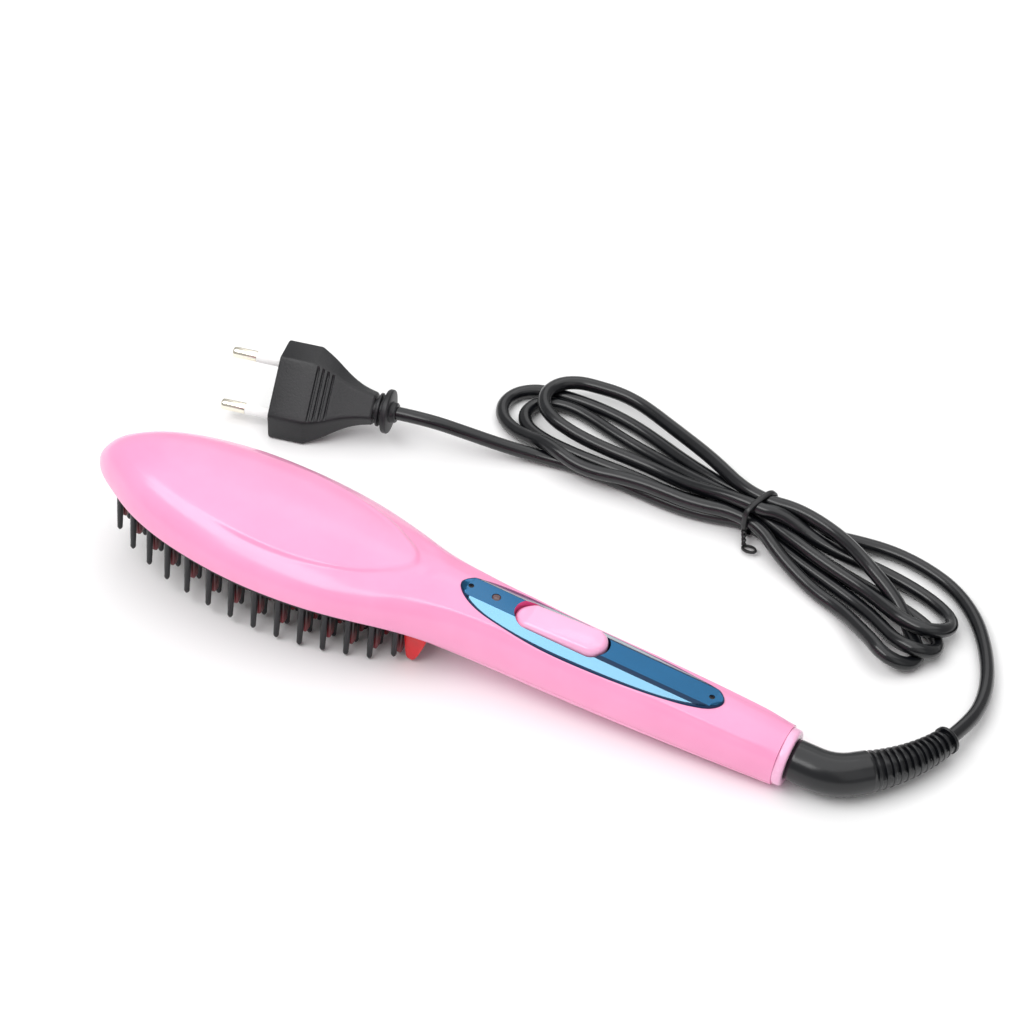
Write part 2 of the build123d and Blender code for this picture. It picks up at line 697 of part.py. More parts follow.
lead_radii = report_route("cord_lead", LEAD_ROUTE)
with BuildPart() as cord_lead:
    with BuildLine() as lead_line:
        FilletPolyline(*LEAD_ROUTE, radius=lead_radii)
    with BuildSketch(Plane(origin=lead_line.line @ 0, z_dir=lead_line.line % 0)):
        Circle(CORD_R)
    sweep(path=lead_line.line)
lead_length = sum(edge.length for edge in lead_line.edges())
print("cord_lead length", round(lead_length, 2), "volume ratio",
      round(cord_lead.part.volume / (math.pi * CORD_R ** 2 * lead_length), 4))

TIE_ANGLE = math.radians(-14.0)
TIE_PLANE = Plane(origin=at(69.4, 101.3, 0.0), x_dir=(-math.sin(TIE_ANGLE), math.cos(TIE_ANGLE), 0),
                  z_dir=(math.cos(TIE_ANGLE), math.sin(TIE_ANGLE), 0))

# outer shape of the tied hank: two flat lobes with a narrow neck under the tie
HANK = [(-37.0, 117.0), (-34.9, 124.2), (-29.5, 129.8), (-20.5, 133.6), (-9.5, 137.4), (3.5, 138.6),
        (15.6, 135.2), (27.1, 129.8), (38.5, 123.9), (49.7, 117.0), (63.4, 110.3), (71.2, 108.5),
        (79.5, 107.6), (87.5, 107.6), (96.0, 107.2), (104.5, 105.2), (113.0, 102.6), (123.9, 99.6),
        (137.0, 94.8), (145.1, 88.4), (148.4, 80.0), (147.0, 69.8), (142.0, 60.0), (135.8, 54.2),
        (129.6, 54.4), (122.4, 60.2), (115.2, 67.4), (105.3, 75.4), (93.6, 80.8), (82.0, 86.0),
        (75.0, 90.4), (67.6, 93.6), (58.5, 93.8), (44.2, 92.6), (31.0, 92.8), (17.9, 92.4), (4.9, 92.6),
        (-7.1, 95.8), (-18.9, 100.2), (-29.0, 105.2), (-35.0, 110.6)]
HANK_HEIGHT = 13.4
with BuildPart() as cord_hank:
    with BuildSketch(Plane.XY.offset(0.0)):
        with BuildLine():
            Spline(*[at(x, y, 0)[:2] for x, y in HANK], periodic=True)
        make_face()
    extrude(amount=HANK_HEIGHT)
    chamfer(cord_hank.faces().sort_by(Axis.Z)[-1].edges(), 2.6)
    # the neck is drawn in under the tie
    with BuildSketch(TIE_PLANE.offset(-1.9)):
        with Locations((0, 7.2)):
            Rectangle(30.0, 24.0)
            Rectangle(14.8, 12.2, mode=Mode.SUBTRACT)
    extrude(amount=3.8, mode=Mode.SUBTRACT)

# tie: a flat band round the neck
with BuildPart() as cord_tie:
    with BuildSketch(TIE_PLANE.offset(-1.6)):
        with Locations((0, 7.2)):
            RectangleRounded(17.6, 14.4, 2.4)
            Rectangle(15.2, 12.6, mode=Mode.SUBTRACT)
    extrude(amount=3.2)

# ----------------------------------------------------------------------------
# Plug, lying on one of its bevels
# ----------------------------------------------------------------------------
PLUG_SIDE = Vector(PLUG_DIR.Y, -PLUG_DIR.X, 0)
PLUG_BODY = 43.6
PLUG_FACE = PLUG_EXIT + PLUG_DIR * PLUG_BODY
PLUG_PLANE = Plane(origin=PLUG_FACE, x_dir=(PLUG_SIDE + Vector(0, 0, 1)).normalized(), z_dir=PLUG_DIR)


def hexagon(w, f, t):
    """Flat hexagon: half width w over the points, half flat f, half thickness t."""
    return [(w, 0), (f, t), (-f, t), (-w, 0), (-f, -t), (f, -t)]


HALF_T = PLUG_T / 2
HALF_W = PLUG_W / 2
with BuildPart() as plug_body:
    with BuildSketch(PLUG_PLANE):
        with BuildLine():
            Polyline(*hexagon(HALF_W, HALF_W - HALF_T, HALF_T), close=True)
        make_face()
    extrude(amount=-12.5)
    for d, w, f, t in ((12.5, HALF_W, HALF_W - HALF_T, HALF_T), (18.0, 14.6, 9.4, 6.3), (25.0, 9.9, 6.6, 5.3),
                       (31.5, 6.9, 4.8, 4.5), (35.5, 6.0, 4.2, 4.1)):
        with BuildSketch(PLUG_PLANE.offset(-d)):
            with BuildLine():
                Polyline(*hexagon(w, f, t), close=True)
            make_face()
    loft()
    with BuildSketch(PLUG_PLANE.offset(-35.5)):
        Circle(3.7)
    extrude(amount=-PLUG_BODY + 35.5)
    with BuildSketch(PLUG_PLANE.offset(-39.0)):
        Ellipse(7.3, 6.4)
    extrude(amount=-2.6)
    # blind holes for the pins
    with BuildSketch(PLUG_PLANE.offset(-9.0)):
        with Locations((PIN_SPACING / 2, 0), (-PIN_SPACING / 2, 0)):
            Circle(PIN_CORE_R)
    extrude(amount=10, mode=Mode.SUBTRACT)

with BuildPart() as plug_pins:
    for s in (-1, 1):
        with BuildSketch(PLUG_PLANE.offset(SLEEVE_LENGTH)):
            with Locations((s * PIN_SPACING / 2, 0)):
                Circle(PIN_D / 2)
        extrude(amount=PIN_LENGTH - SLEEVE_LENGTH)
    ends = plug_pins.faces().sort_by(Axis(PLUG_FACE, PLUG_DIR))[-2:]
    chamfer(ends.edges(), 0.6)
    for s in (-1, 1):
        with BuildSketch(PLUG_PLANE.offset(-9.0)):
            with Locations((s * PIN_SPACING / 2, 0)):
                Circle(PIN_CORE_R)
        extrude(amount=9.0 + SLEEVE_LENGTH)

with BuildPart() as pin_sleeves:
    for s in (-1, 1):
        with BuildSketch(PLUG_PLANE):
            with Locations((s * PIN_SPACING / 2, 0)):
                Circle(PIN_D / 2)
                Circle(PIN_CORE_R, mode=Mode.SUBTRACT)
        extrude(amount=SLEEVE_LENGTH)

# ----------------------------------------------------------------------------
# Write every piece
# ----------------------------------------------------------------------------
comb_pieces = {
    "back_shell": back_shell, "front_shell": front_shell, "tail_collar": tail_collar,
    "display_lens": display_lens, "power_rocker": power_rocker, "rocker_pin": rocker_pin,
    "lens_screws": lens_screws, "led_indicator": led_indicator, "control_pcb": control_pcb,
    "display_module": display_module, "rocker_switch": rocker_switch,
    "mains_capacitor": mains_capacitor, "triac": triac, "pcb_fuse": pcb_fuse,
    "heat_plate": heat_plate, "bristle_carrier": bristle_carrier, "heated_teeth": heated_teeth,
    "bristles": bristles, "heater_elements": heater_elements, "insulation_sheet": insulation_sheet,
    "heater_clamp": heater_clamp, "thermal_fuse": thermal_fuse, "thermistor": thermistor,
    "plate_screws": plate_screws, "handle_screws": handle_screws, "heater_leads": heater_leads,
    "swivel_rotor": swivel_rotor, "slip_rings": slip_rings, "swivel_contacts": swivel_contacts,
}
for node, piece in comb_pieces.items():
    piece.part.label = node
    export_step(piece.part.moved(POSE), "parts/" + node + ".step")

cord_pieces = {
    "strain_relief": strain_relief, "cord_tail": cord_tail, "cord_hank": cord_hank,
    "cord_tie": cord_tie, "cord_lead": cord_lead, "plug_body": plug_body,
    "plug_pins": plug_pins, "pin_sleeves": pin_sleeves,
}
for node, piece in cord_pieces.items():
    piece.part.label = node
    export_step(piece.part, "parts/" + node + ".step")

print("pitch", round(PITCH, 4), "centre x", round(CENTRE_X, 4), "rest z", round(REST_Z, 4), "shift x", round(SHIFT_X, 4))
print("tail", TAIL, "boot start", tuple(BOOT_START), "boot end", tuple(BOOT_END))
print("rocker pivot", laid(ROCKER_X, 0, ROCKER_PIN_Z))
print("plug face", tuple(PLUG_FACE), "dir", tuple(PLUG_DIR), "pins",
      [tuple((PLUG_PLANE.offset(PIN_LENGTH - 4.5)).from_local_coords(Vector(s * PIN_SPACING / 2, 0, 0))) for s in (-1, 1)])
print("hair channels", [tuple(round(v, 2) for v in laid((a + b) / 2, 0, -10.5)) for (a, _), (b, _) in zip(ROWS, ROWS[1:])])
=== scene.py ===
import bpy, bmesh, math
import numpy as np
from mathutils import Vector, Matrix


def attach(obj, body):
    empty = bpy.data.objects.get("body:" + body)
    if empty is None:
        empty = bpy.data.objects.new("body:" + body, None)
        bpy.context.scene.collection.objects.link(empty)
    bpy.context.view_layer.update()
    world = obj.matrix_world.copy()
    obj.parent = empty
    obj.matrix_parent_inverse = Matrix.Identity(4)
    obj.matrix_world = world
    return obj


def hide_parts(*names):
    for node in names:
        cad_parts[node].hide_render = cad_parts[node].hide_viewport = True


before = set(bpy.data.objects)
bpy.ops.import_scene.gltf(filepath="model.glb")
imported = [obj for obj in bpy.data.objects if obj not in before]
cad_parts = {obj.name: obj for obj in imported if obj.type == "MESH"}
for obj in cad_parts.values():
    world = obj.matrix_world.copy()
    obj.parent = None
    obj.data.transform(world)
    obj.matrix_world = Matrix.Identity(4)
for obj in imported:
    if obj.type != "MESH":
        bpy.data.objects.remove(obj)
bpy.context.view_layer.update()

# ---------------------------------------------------------------- camera
cam_data = bpy.data.cameras.new("camera")
cam = bpy.data.objects.new("camera", cam_data)
bpy.context.scene.collection.objects.link(cam)
cam_data.sensor_width = 36.0
cam_data.lens = 108.8558
cam_data.clip_start, cam_data.clip_end = 0.05, 20.0
cam.matrix_world = Matrix((
    (0.89080872, -0.3144563, 0.32798943, 0.32979232),
    (0.45414066, 0.59281528, -0.66507616, -0.62061178),
    (0.01470024, 0.74140898, 0.67089241, 0.69833815),
    (0, 0, 0, 1)))
bpy.context.scene.camera = cam

# ---------------------------------------------------------------- the comb's own frame
LENGTH, COLLAR_CHAMFER, TIP_RISE_FROM, TIP_Z, COLLAR_R = 250.0, 0.9, 85.0, -24.0, 9.3
PITCH = math.atan((24.0 - COLLAR_R) / (LENGTH - COLLAR_CHAMFER - TIP_RISE_FROM))
PC, PS = math.cos(PITCH), math.sin(PITCH)
CENTRE_X, REST_Z = 124.8554, -31.4882


def lay(points):
    """Points of the comb frame in mm, laid down, in metres."""
    p = np.asarray(points, dtype=float).reshape(-1, 3)
    return np.c_[p[:, 0] * PC + p[:, 2] * PS - CENTRE_X, p[:, 1],
                 -p[:, 0] * PS + p[:, 2] * PC - REST_Z] / 1000.0


# ---------------------------------------------------------------- cord
# from the boot to the hank, the same points as the CAD route
CORD_TAIL = [
    (0.16331, 0.03336, 0.00631), (0.16627, 0.04248, 0.00595), (0.16685, 0.05450, 0.00420), (0.16425, 0.06740, 0.00310),
    (0.15865, 0.08040, 0.00250), (0.15085, 0.09240, 0.00242), (0.14025, 0.10160, 0.00242), (0.12785, 0.10680, 0.00242),
    (0.11515, 0.10890, 0.00260), (0.10345, 0.10740, 0.00320),
]
# the hank: seven passes through the tie, three loops to the left and three to the right
CORD_HANK = [
    (0.09446, 0.10521, 0.00375), (0.08709, 0.10448, 0.00462), (0.07952, 0.10449, 0.00570), (0.07177, 0.10580, 0.00636),
    (0.06396, 0.10763, 0.00619), (0.05615, 0.10954, 0.00548), (0.04842, 0.11174, 0.00500), (0.04090, 0.11445, 0.00442),
    (0.03361, 0.11769, 0.00357), (0.02642, 0.12117, 0.00277), (0.01907, 0.12433, 0.00242), (0.01146, 0.12686, 0.00242),
    (0.00365, 0.12874, 0.00242), (-0.00432, 0.12990, 0.00242), (-0.01246, 0.13028, 0.00242), (-0.02065, 0.13003, 0.00242),
    (-0.02831, 0.12842, 0.00242), (-0.03379, 0.12352, 0.00242), (-0.03528, 0.11644, 0.00242), (-0.03221, 0.10982, 0.00242),
    (-0.02581, 0.10552, 0.00263), (-0.01834, 0.10253, 0.00433), (-0.01085, 0.09978, 0.00697), (-0.00337, 0.09671, 0.00749),
    (0.00431, 0.09468, 0.00656), (0.01218, 0.09451, 0.00658), (0.02017, 0.09545, 0.00721), (0.02825, 0.09617, 0.00710),
    (0.03623, 0.09584, 0.00700), (0.04404, 0.09522, 0.00700), (0.05169, 0.09581, 0.00706), (0.05916, 0.09722, 0.00718),
    (0.06669, 0.09677, 0.00680), (0.07376, 0.09424, 0.00646), (0.07979, 0.08976, 0.00530), (0.08630, 0.08597, 0.00365),
    (0.09460, 0.08160, 0.00250), (0.10159, 0.07811, 0.00242), (0.10832, 0.07556, 0.00260), (0.11438, 0.07176, 0.00360),
    (0.11992, 0.06728, 0.00500), (0.12540, 0.06284, 0.00640), (0.12980, 0.05920, 0.00680), (0.13490, 0.05840, 0.00540),
    (0.14000, 0.06130, 0.00280), (0.14070, 0.06790, 0.00242), (0.13431, 0.07550, 0.00336), (0.12890, 0.08115, 0.00587),
    (0.12245, 0.08504, 0.00875), (0.11566, 0.08890, 0.01035), (0.10911, 0.09345, 0.01066), (0.10240, 0.09790, 0.01043),
    (0.09515, 0.10142, 0.01028), (0.08750, 0.10390, 0.01042), (0.07981, 0.10494, 0.01074), (0.07250, 0.10413, 0.01089),
    (0.06512, 0.10509, 0.01084), (0.05804, 0.10822, 0.01057), (0.05142, 0.11269, 0.00980), (0.04479, 0.11722, 0.00876),
    (0.03790, 0.12131, 0.00785), (0.03081, 0.12505, 0.00713), (0.02363, 0.12868, 0.00657), (0.01637, 0.13220, 0.00618),
    (0.00896, 0.13517, 0.00603), (0.00126, 0.13657, 0.00619), (-0.00656, 0.13592, 0.00661), (-0.01423, 0.13478, 0.00693),
    (-0.02016, 0.13051, 0.00721), (-0.02230, 0.12368, 0.00722), (-0.01969, 0.11692, 0.00699), (-0.01341, 0.11248, 0.00671),
    (-0.00562, 0.11015, 0.00620), (0.00246, 0.10904, 0.00550), (0.01053, 0.10870, 0.00483), (0.01856, 0.10847, 0.00442),
    (0.02649, 0.10756, 0.00450), (0.03423, 0.10571, 0.00524), (0.04185, 0.10349, 0.00663), (0.04956, 0.10174, 0.00851),
    (0.05743, 0.10066, 0.01034), (0.06515, 0.09961, 0.01112), (0.07156, 0.09870, 0.01139), (0.07577, 0.09974, 0.01130),
    (0.08134, 0.10017, 0.00958), (0.08828, 0.09931, 0.00679), (0.09605, 0.09860, 0.00486), (0.10409, 0.09833, 0.00377),
    (0.11212, 0.09814, 0.00304), (0.12010, 0.09730, 0.00254), (0.12803, 0.09546, 0.00242), (0.13582, 0.09270, 0.00242),
    (0.14263, 0.08861, 0.00275), (0.14618, 0.08258, 0.00453), (0.14457, 0.07645, 0.00715), (0.13859, 0.07322, 0.00829),
    (0.13122, 0.07450, 0.00829), (0.12425, 0.07839, 0.00740), (0.11742, 0.08255, 0.00641), (0.11008, 0.08554, 0.00601),
    (0.10246, 0.08796, 0.00614), (0.09486, 0.09052, 0.00641), (0.08746, 0.09353, 0.00651), (0.08013, 0.09668, 0.00636),
    (0.07278, 0.09987, 0.00647), (0.06519, 0.10230, 0.00694), (0.05745, 0.10445, 0.00720), (0.04967, 0.10642, 0.00635),
    (0.04200, 0.10865, 0.00526), (0.03449, 0.11128, 0.00411), (0.02701, 0.11398, 0.00307), (0.01937, 0.11628, 0.00247),
    (0.01164, 0.11840, 0.00242), (0.00394, 0.12086, 0.00242), (-0.00382, 0.12352, 0.00242), (-0.01181, 0.12544, 0.00242),
    (-0.01956, 0.12527, 0.00242), (-0.02518, 0.12118, 0.00242), (-0.02616, 0.11457, 0.00242), (-0.02197, 0.10893, 0.00242),
    (-0.01468, 0.10598, 0.00242), (-0.00657, 0.10453, 0.00242), (0.00156, 0.10369, 0.00242), (0.00962, 0.10322, 0.00242),
    (0.01765, 0.10286, 0.00242), (0.02566, 0.10219, 0.00242), (0.03363, 0.10116, 0.00242), (0.04157, 0.10066, 0.00242),
    (0.04942, 0.10177, 0.00242), (0.05711, 0.10382, 0.00242), (0.06477, 0.10453, 0.00242), (0.07219, 0.10290, 0.00242),
    (0.07909, 0.09997, 0.00242), (0.08635, 0.09707, 0.00242), (0.09392, 0.09449, 0.00242), (0.10157, 0.09200, 0.00242),
    (0.10931, 0.08984, 0.00242), (0.11711, 0.08784, 0.00242), (0.12497, 0.08572, 0.00242), (0.13281, 0.08320, 0.00245),
    (0.14002, 0.07958, 0.00242), (0.14481, 0.07407, 0.00249), (0.14475, 0.06788, 0.00507), (0.13981, 0.06435, 0.00748),
    (0.13295, 0.06574, 0.00692), (0.12696, 0.07073, 0.00502), (0.12097, 0.07599, 0.00326), (0.11412, 0.07994, 0.00243),
    (0.10673, 0.08297, 0.00242), (0.09928, 0.08593, 0.00242), (0.09179, 0.08885, 0.00242), (0.08440, 0.09201, 0.00242),
    (0.07710, 0.09547, 0.00242), (0.06978, 0.09839, 0.00242), (0.06271, 0.09946, 0.00242), (0.05613, 0.09762, 0.00242),
    (0.04921, 0.09637, 0.00242), (0.04146, 0.09589, 0.00242), (0.03339, 0.09645, 0.00242), (0.02538, 0.09733, 0.00242),
    (0.01760, 0.09804, 0.00242),
]
# from the hank to the plug, the same points as the CAD route
CORD_LEAD = [
    (0.00165, 0.09850, 0.00242), (-0.00995, 0.09700, 0.00270), (-0.02355, 0.09360, 0.00500), (-0.03665, 0.08960, 0.00900),
    (-0.04907, 0.08588, 0.01248), (-0.05990, 0.08398, 0.01248),
]
route = CORD_TAIL + CORD_HANK + CORD_LEAD
cord_curve = bpy.data.curves.new("mains_cord", "CURVE")
cord_curve.dimensions = "3D"
cord_curve.resolution_u = 10
cord_curve.bevel_depth = 1.0
cord_curve.bevel_resolution = 5
spline = cord_curve.splines.new("NURBS")
spline.points.add(len(route) - 1)
for point, co in zip(spline.points, route):
    point.co = (*co, 1.0)
    point.radius = 0.0024
spline.order_u = 3
spline.use_endpoint_u = True
mains_cord = bpy.data.objects.new("mains_cord", cord_curve)
bpy.context.scene.collection.objects.link(mains_cord)
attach(mains_cord, "cord_set")
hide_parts("cord_tail", "cord_hank", "cord_lead")

# ---------------------------------------------------------------- helpers


def new_object(name, verts, faces, body, material, sharp=None, replaces=()):
    mesh = bpy.data.meshes.new(name)
    mesh.from_pydata([tuple(v) for v in verts], [], [tuple(f) for f in faces])
    bm = bmesh.new()
    bm.from_mesh(mesh)
    bmesh.ops.remove_doubles(bm, verts=bm.verts, dist=2e-6)
    bmesh.ops.dissolve_degenerate(bm, dist=1e-7, edges=bm.edges)
    bmesh.ops.recalc_face_normals(bm, faces=bm.faces)
    for f in bm.faces:
        f.smooth = True
    if sharp is not None:
        for e in bm.edges:
            if len(e.link_faces) == 2 and e.calc_face_angle(0) > math.radians(sharp):
                e.smooth = False
    bm.to_mesh(mesh)
    bm.free()
    ob = bpy.data.objects.new(name, mesh)
    bpy.context.scene.collection.objects.link(ob)
    mesh.materials.append(material)
    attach(ob, body)
    if replaces:
        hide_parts(*replaces)
    return ob


def grid_faces(n_rows, n_cols, offset=0, close=False):
    """Quads of a grid stored row by row, rows of n_cols points."""
    out = []
    m = n_cols if close else n_cols - 1
    for i in range(n_rows - 1):
        for j in range(m):
            a = offset + i * n_cols + j
            b = offset + i * n_cols + (j + 1) % n_cols
            out.append((a, b, b + n_cols, a + n_cols))
    return out


class Build:
    """Collects several pieces of mesh into one."""

    def __init__(self):
        self.v, self.f = [], []

    def add(self, verts, faces):
        o = len(self.v)
        self.v.extend([tuple(map(float, v)) for v in verts])
        self.f.extend([tuple(i + o for i in f) for f in faces])

    def rings(self, rings, cap=(True, True)):
        """Closed rings of equal count, joined one after another."""
        n = len(rings[0])
        verts = [p for r in rings for p in r]
        faces = grid_faces(len(rings), n, close=True)
        if cap[0]:
            faces.append(tuple(range(n))[::-1])
        if cap[1]:
            faces.append(tuple(range(len(verts) - n, len(verts))))
        self.add(verts, faces)


def cubic(t, y, q):
    """Natural cubic spline through (t, y) read at q."""
    t, y = np.asarray(t, float), np.asarray(y, float)
    n, h = len(t), np.diff(t)
    A, r = np.eye(n), np.zeros((n,) + y.shape[1:])
    for i in range(1, n - 1):
        A[i, i - 1], A[i, i], A[i, i + 1] = h[i - 1], 2 * (h[i - 1] + h[i]), h[i]
        r[i] = 6 * ((y[i + 1] - y[i]) / h[i] - (y[i] - y[i - 1]) / h[i - 1])
    m = np.linalg.solve(A, r)
    i = np.clip(np.searchsorted(t, q) - 1, 0, n - 2)
    a, b = (t[i + 1] - q) / h[i], (q - t[i]) / h[i]
    if y.ndim > 1:
        a, b, hh = a[:, None], b[:, None], h[i][:, None]
    else:
        hh = h[i]
    return a * y[i] + b * y[i + 1] + ((a ** 3 - a) * m[i] + (b ** 3 - b) * m[i + 1]) * hh ** 2 / 6


def closed_curve(half, n=600):
    """Smooth closed outline from one half (y >= 0), as a dense polyline."""
    pts = np.array(half + [(x, -y) for x, y in reversed(half[1:-1])], float)
    k = len(pts)
    loop = np.vstack([pts] * 3 + [pts[:1]])
    t = np.r_[0, np.cumsum(np.linalg.norm(np.diff(loop, axis=0), axis=1))]
    return cubic(t, loop, np.linspace(t[k], t[2 * k], n, endpoint=False))


def half_width(outline):
    """Function giving the outline's half width at x, 0 outside it."""
    up = outline[outline[:, 1] >= -1e-6]
    up = up[np.argsort(up[:, 0])]
    x0, x1 = outline[:, 0].min(), outline[:, 0].max()
    xs, ys = np.r_[x0, up[:, 0], x1], np.r_[0, up[:, 1], 0]
    return lambda x: np.interp(x, xs, ys, left=0, right=0)


def smoothstep(a, b, x):
    t = np.clip((x - a) / (b - a), 0, 1)
    return t * t * (3 - 2 * t)


def signed_distance(outline, x, y):
    """Distance from the outline, positive outside it."""
    x, y = np.ravel(x), np.ravel(y)
    a, b = outline, np.roll(outline, -1, axis=0)
    best = np.full(len(x), 1e9)
    inside = np.zeros(len(x), bool)
    for (ax, ay), (bx, by) in zip(a, b):
        dx, dy = bx - ax, by - ay
        t = np.clip(((x - ax) * dx + (y - ay) * dy) / (dx * dx + dy * dy), 0, 1)
        best = np.minimum(best, np.hypot(x - ax - t * dx, y - ay - t * dy))
        cross = (ay > y) != (by > y)
        if dy:
            inside ^= cross & (x < (bx - ax) * (y - ay) / dy + ax)
    return np.where(inside, -best, best)


# ---------------------------------------------------------------- materials


def material(name, colour, rough=0.4, vary=0.06, scale=180.0, rough_vary=0.05, bump=0.25, bump_scale=1400.0,
             bump_depth=0.00004, coat=0.0, coat_rough=0.08, metallic=0.0, specular=0.5, sheen=0.0,
             transmission=0.0, ior=1.46, subsurface=0.0, streak=None, wear=None, alt=None):
    """Procedural finish: clouded colour, uneven gloss, fine surface bump."""
    m = bpy.data.materials.new(name)
    m.use_nodes = True
    nt = m.node_tree
    bsdf = nt.nodes["Principled BSDF"]
    link = nt.links.new
    coord = nt.nodes.new("ShaderNodeTexCoord")
    mapping = nt.nodes.new("ShaderNodeMapping")
    link(coord.outputs["Object"], mapping.inputs["Vector"])
    if streak:
        mapping.inputs["Scale"].default_value = streak
    noise = nt.nodes.new("ShaderNodeTexNoise")
    noise.inputs["Scale"].default_value = scale
    noise.inputs["Detail"].default_value = 5.0
    link(mapping.outputs["Vector"], noise.inputs["Vector"])
    ramp = nt.nodes.new("ShaderNodeValToRGB")
    low = [max(0.0, c * (1 - vary)) for c in colour]
    high = [min(1.0, c * (1 + vary)) for c in (alt or colour)]
    ramp.color_ramp.elements[0].position, ramp.color_ramp.elements[1].position = 0.3, 0.7
    ramp.color_ramp.elements[0].color = (*low, 1)
    ramp.color_ramp.elements[1].color = (*high, 1)
    link(noise.outputs["Fac"], ramp.inputs["Fac"])
    out = ramp.outputs["Color"]
    if wear:
        geo = nt.nodes.new("ShaderNodeNewGeometry")
        edge = nt.nodes.new("ShaderNodeMapRange")
        edge.inputs["From Min"].default_value, edge.inputs["From Max"].default_value = 0.52, 0.62
        link(geo.outputs["Pointiness"], edge.inputs["Value"])
        mix = nt.nodes.new("ShaderNodeMix")
        mix.data_type = "RGBA"
        mix.inputs["B"].default_value = (*wear, 1)
        link(edge.outputs["Result"], mix.inputs["Factor"])
        link(out, mix.inputs["A"])
        out = mix.outputs["Result"]
    link(out, bsdf.inputs["Base Color"])
    spread = nt.nodes.new("ShaderNodeMapRange")
    spread.inputs["To Min"].default_value = max(0.02, rough - rough_vary)
    spread.inputs["To Max"].default_value = min(1.0, rough + rough_vary)
    fine = nt.nodes.new("ShaderNodeTexNoise")
    fine.inputs["Scale"].default_value = bump_scale
    fine.inputs["Detail"].default_value = 3.0
    link(mapping.outputs["Vector"], fine.inputs["Vector"])
    link(noise.outputs["Fac"], spread.inputs["Value"])
    link(spread.outputs["Result"], bsdf.inputs["Roughness"])
    b = nt.nodes.new("ShaderNodeBump")
    b.inputs["Strength"].default_value = bump
    b.inputs["Distance"].default_value = bump_depth
    link(fine.outputs["Fac"], b.inputs["Height"])
    link(b.outputs["Normal"], bsdf.inputs["Normal"])
    bsdf.inputs["Metallic"].default_value = metallic
    bsdf.inputs["Specular IOR Level"].default_value = specular
    bsdf.inputs["IOR"].default_value = ior
    bsdf.inputs["Coat Weight"].default_value = coat
    bsdf.inputs["Coat Roughness"].default_value = coat_rough
    bsdf.inputs["Sheen Weight"].default_value = sheen
    bsdf.inputs["Transmission Weight"].default_value = transmission
    if subsurface:
        bsdf.inputs["Subsurface Weight"].default_value = subsurface
        bsdf.inputs["Subsurface Scale"].default_value = 0.002
    return m


PINK = material("pink_plastic", (0.95, 0.335, 0.575), 0.32, vary=0.02, scale=45, rough_vary=0.03, bump=0.1,
                bump_scale=900, coat=0.6, coat_rough=0.16, specular=0.4, alt=(0.96, 0.36, 0.60))
# painted shade: a darker copy of the housing pink
PINK_PAINTED_SHADE = material("shaded_pink", (0.80, 0.10, 0.30), 0.35, vary=0.05, scale=90, bump=0.1, bump_scale=900, coat=0.2)
PINK_BUTTON = material("pink_button", (0.95, 0.44, 0.68), 0.22, vary=0.02, scale=90, bump=0.1, coat=0.6,
                       coat_rough=0.08, alt=(0.96, 0.46, 0.70))
PALE_PINK = material("pale_pink", (0.95, 0.50, 0.72), 0.28, vary=0.03, scale=120, bump=0.15, coat=0.4)
LENS_BLUE = material("lens_blue", (0.006, 0.095, 0.22), 0.2, vary=0.05, scale=60, rough_vary=0.03, bump=0.05,
                     bump_scale=700, metallic=0.9, coat=0.5, coat_rough=0.05)
# painted reflection: a lighter copy of the lens finish for its bevels
LENS_BEVEL_PAINTED_REFLECTION = material("lens_bevel_painted_reflection", (0.055, 0.17, 0.26), 0.24, vary=0.05, scale=60, rough_vary=0.03, bump=0.05,
                      bump_scale=700, metallic=0.85, coat=0.8, coat_rough=0.08)
# painted dark reflection for the lens's rim and bands
LENS_DARK_REFLECTION = material("lens_painted_dark_reflection", (0.003, 0.028, 0.08), 0.45, vary=0.1, scale=200, bump=0.06, bump_scale=700,
                     specular=0.25)
NYLON = material("black_nylon", (0.010, 0.0105, 0.013), 0.34, vary=0.18, scale=300, rough_vary=0.09, bump=0.5,
                 bump_scale=2600, bump_depth=0.00003)
CARRIER = material("carrier_nylon", (0.009, 0.009, 0.010), 0.5, vary=0.2, scale=260, bump=0.6, bump_scale=1800)
RED = material("red_ceramic", (0.76, 0.014, 0.02), 0.3, vary=0.1, scale=240, rough_vary=0.06, bump=0.4,
               bump_scale=1700, coat=0.2, coat_rough=0.15)
RUBBER = material("black_vinyl", (0.004, 0.0045, 0.006), 0.3, vary=0.25, scale=220, rough_vary=0.09, bump=0.55,
                  bump_scale=2200, bump_depth=0.00003, specular=0.3, coat=0.6, coat_rough=0.16)
BOOT = material("boot_vinyl", (0.004, 0.0045, 0.006), 0.3, vary=0.2, scale=160, rough_vary=0.08, bump=0.5,
                bump_scale=1500, bump_depth=0.00004, specular=0.35, coat=0.5, coat_rough=0.2)
PLUG = material("plug_vinyl", (0.013, 0.013, 0.015), 0.42, vary=0.2, scale=140, rough_vary=0.06, bump=0.7,
                bump_scale=1300, bump_depth=0.00007)
TIE = material("tie_vinyl", (0.012, 0.012, 0.013), 0.3, vary=0.2, scale=400, bump=0.4, bump_scale=2000)
SLEEVE = material("pale_sleeve", (0.96, 0.96, 0.95), 0.4, vary=0.03, scale=300, bump=0.3, bump_scale=1500)
NICKEL = material("plated_pin", (0.93, 0.88, 0.76), 0.16, vary=0.06, scale=500, rough_vary=0.08, bump=0.35,
                  bump_scale=2500, bump_depth=0.00002, metallic=1.0, streak=(1, 1, 6))
BRASS = material("brass", (0.80, 0.56, 0.22), 0.3, vary=0.1, scale=400, bump=0.3, metallic=1.0)
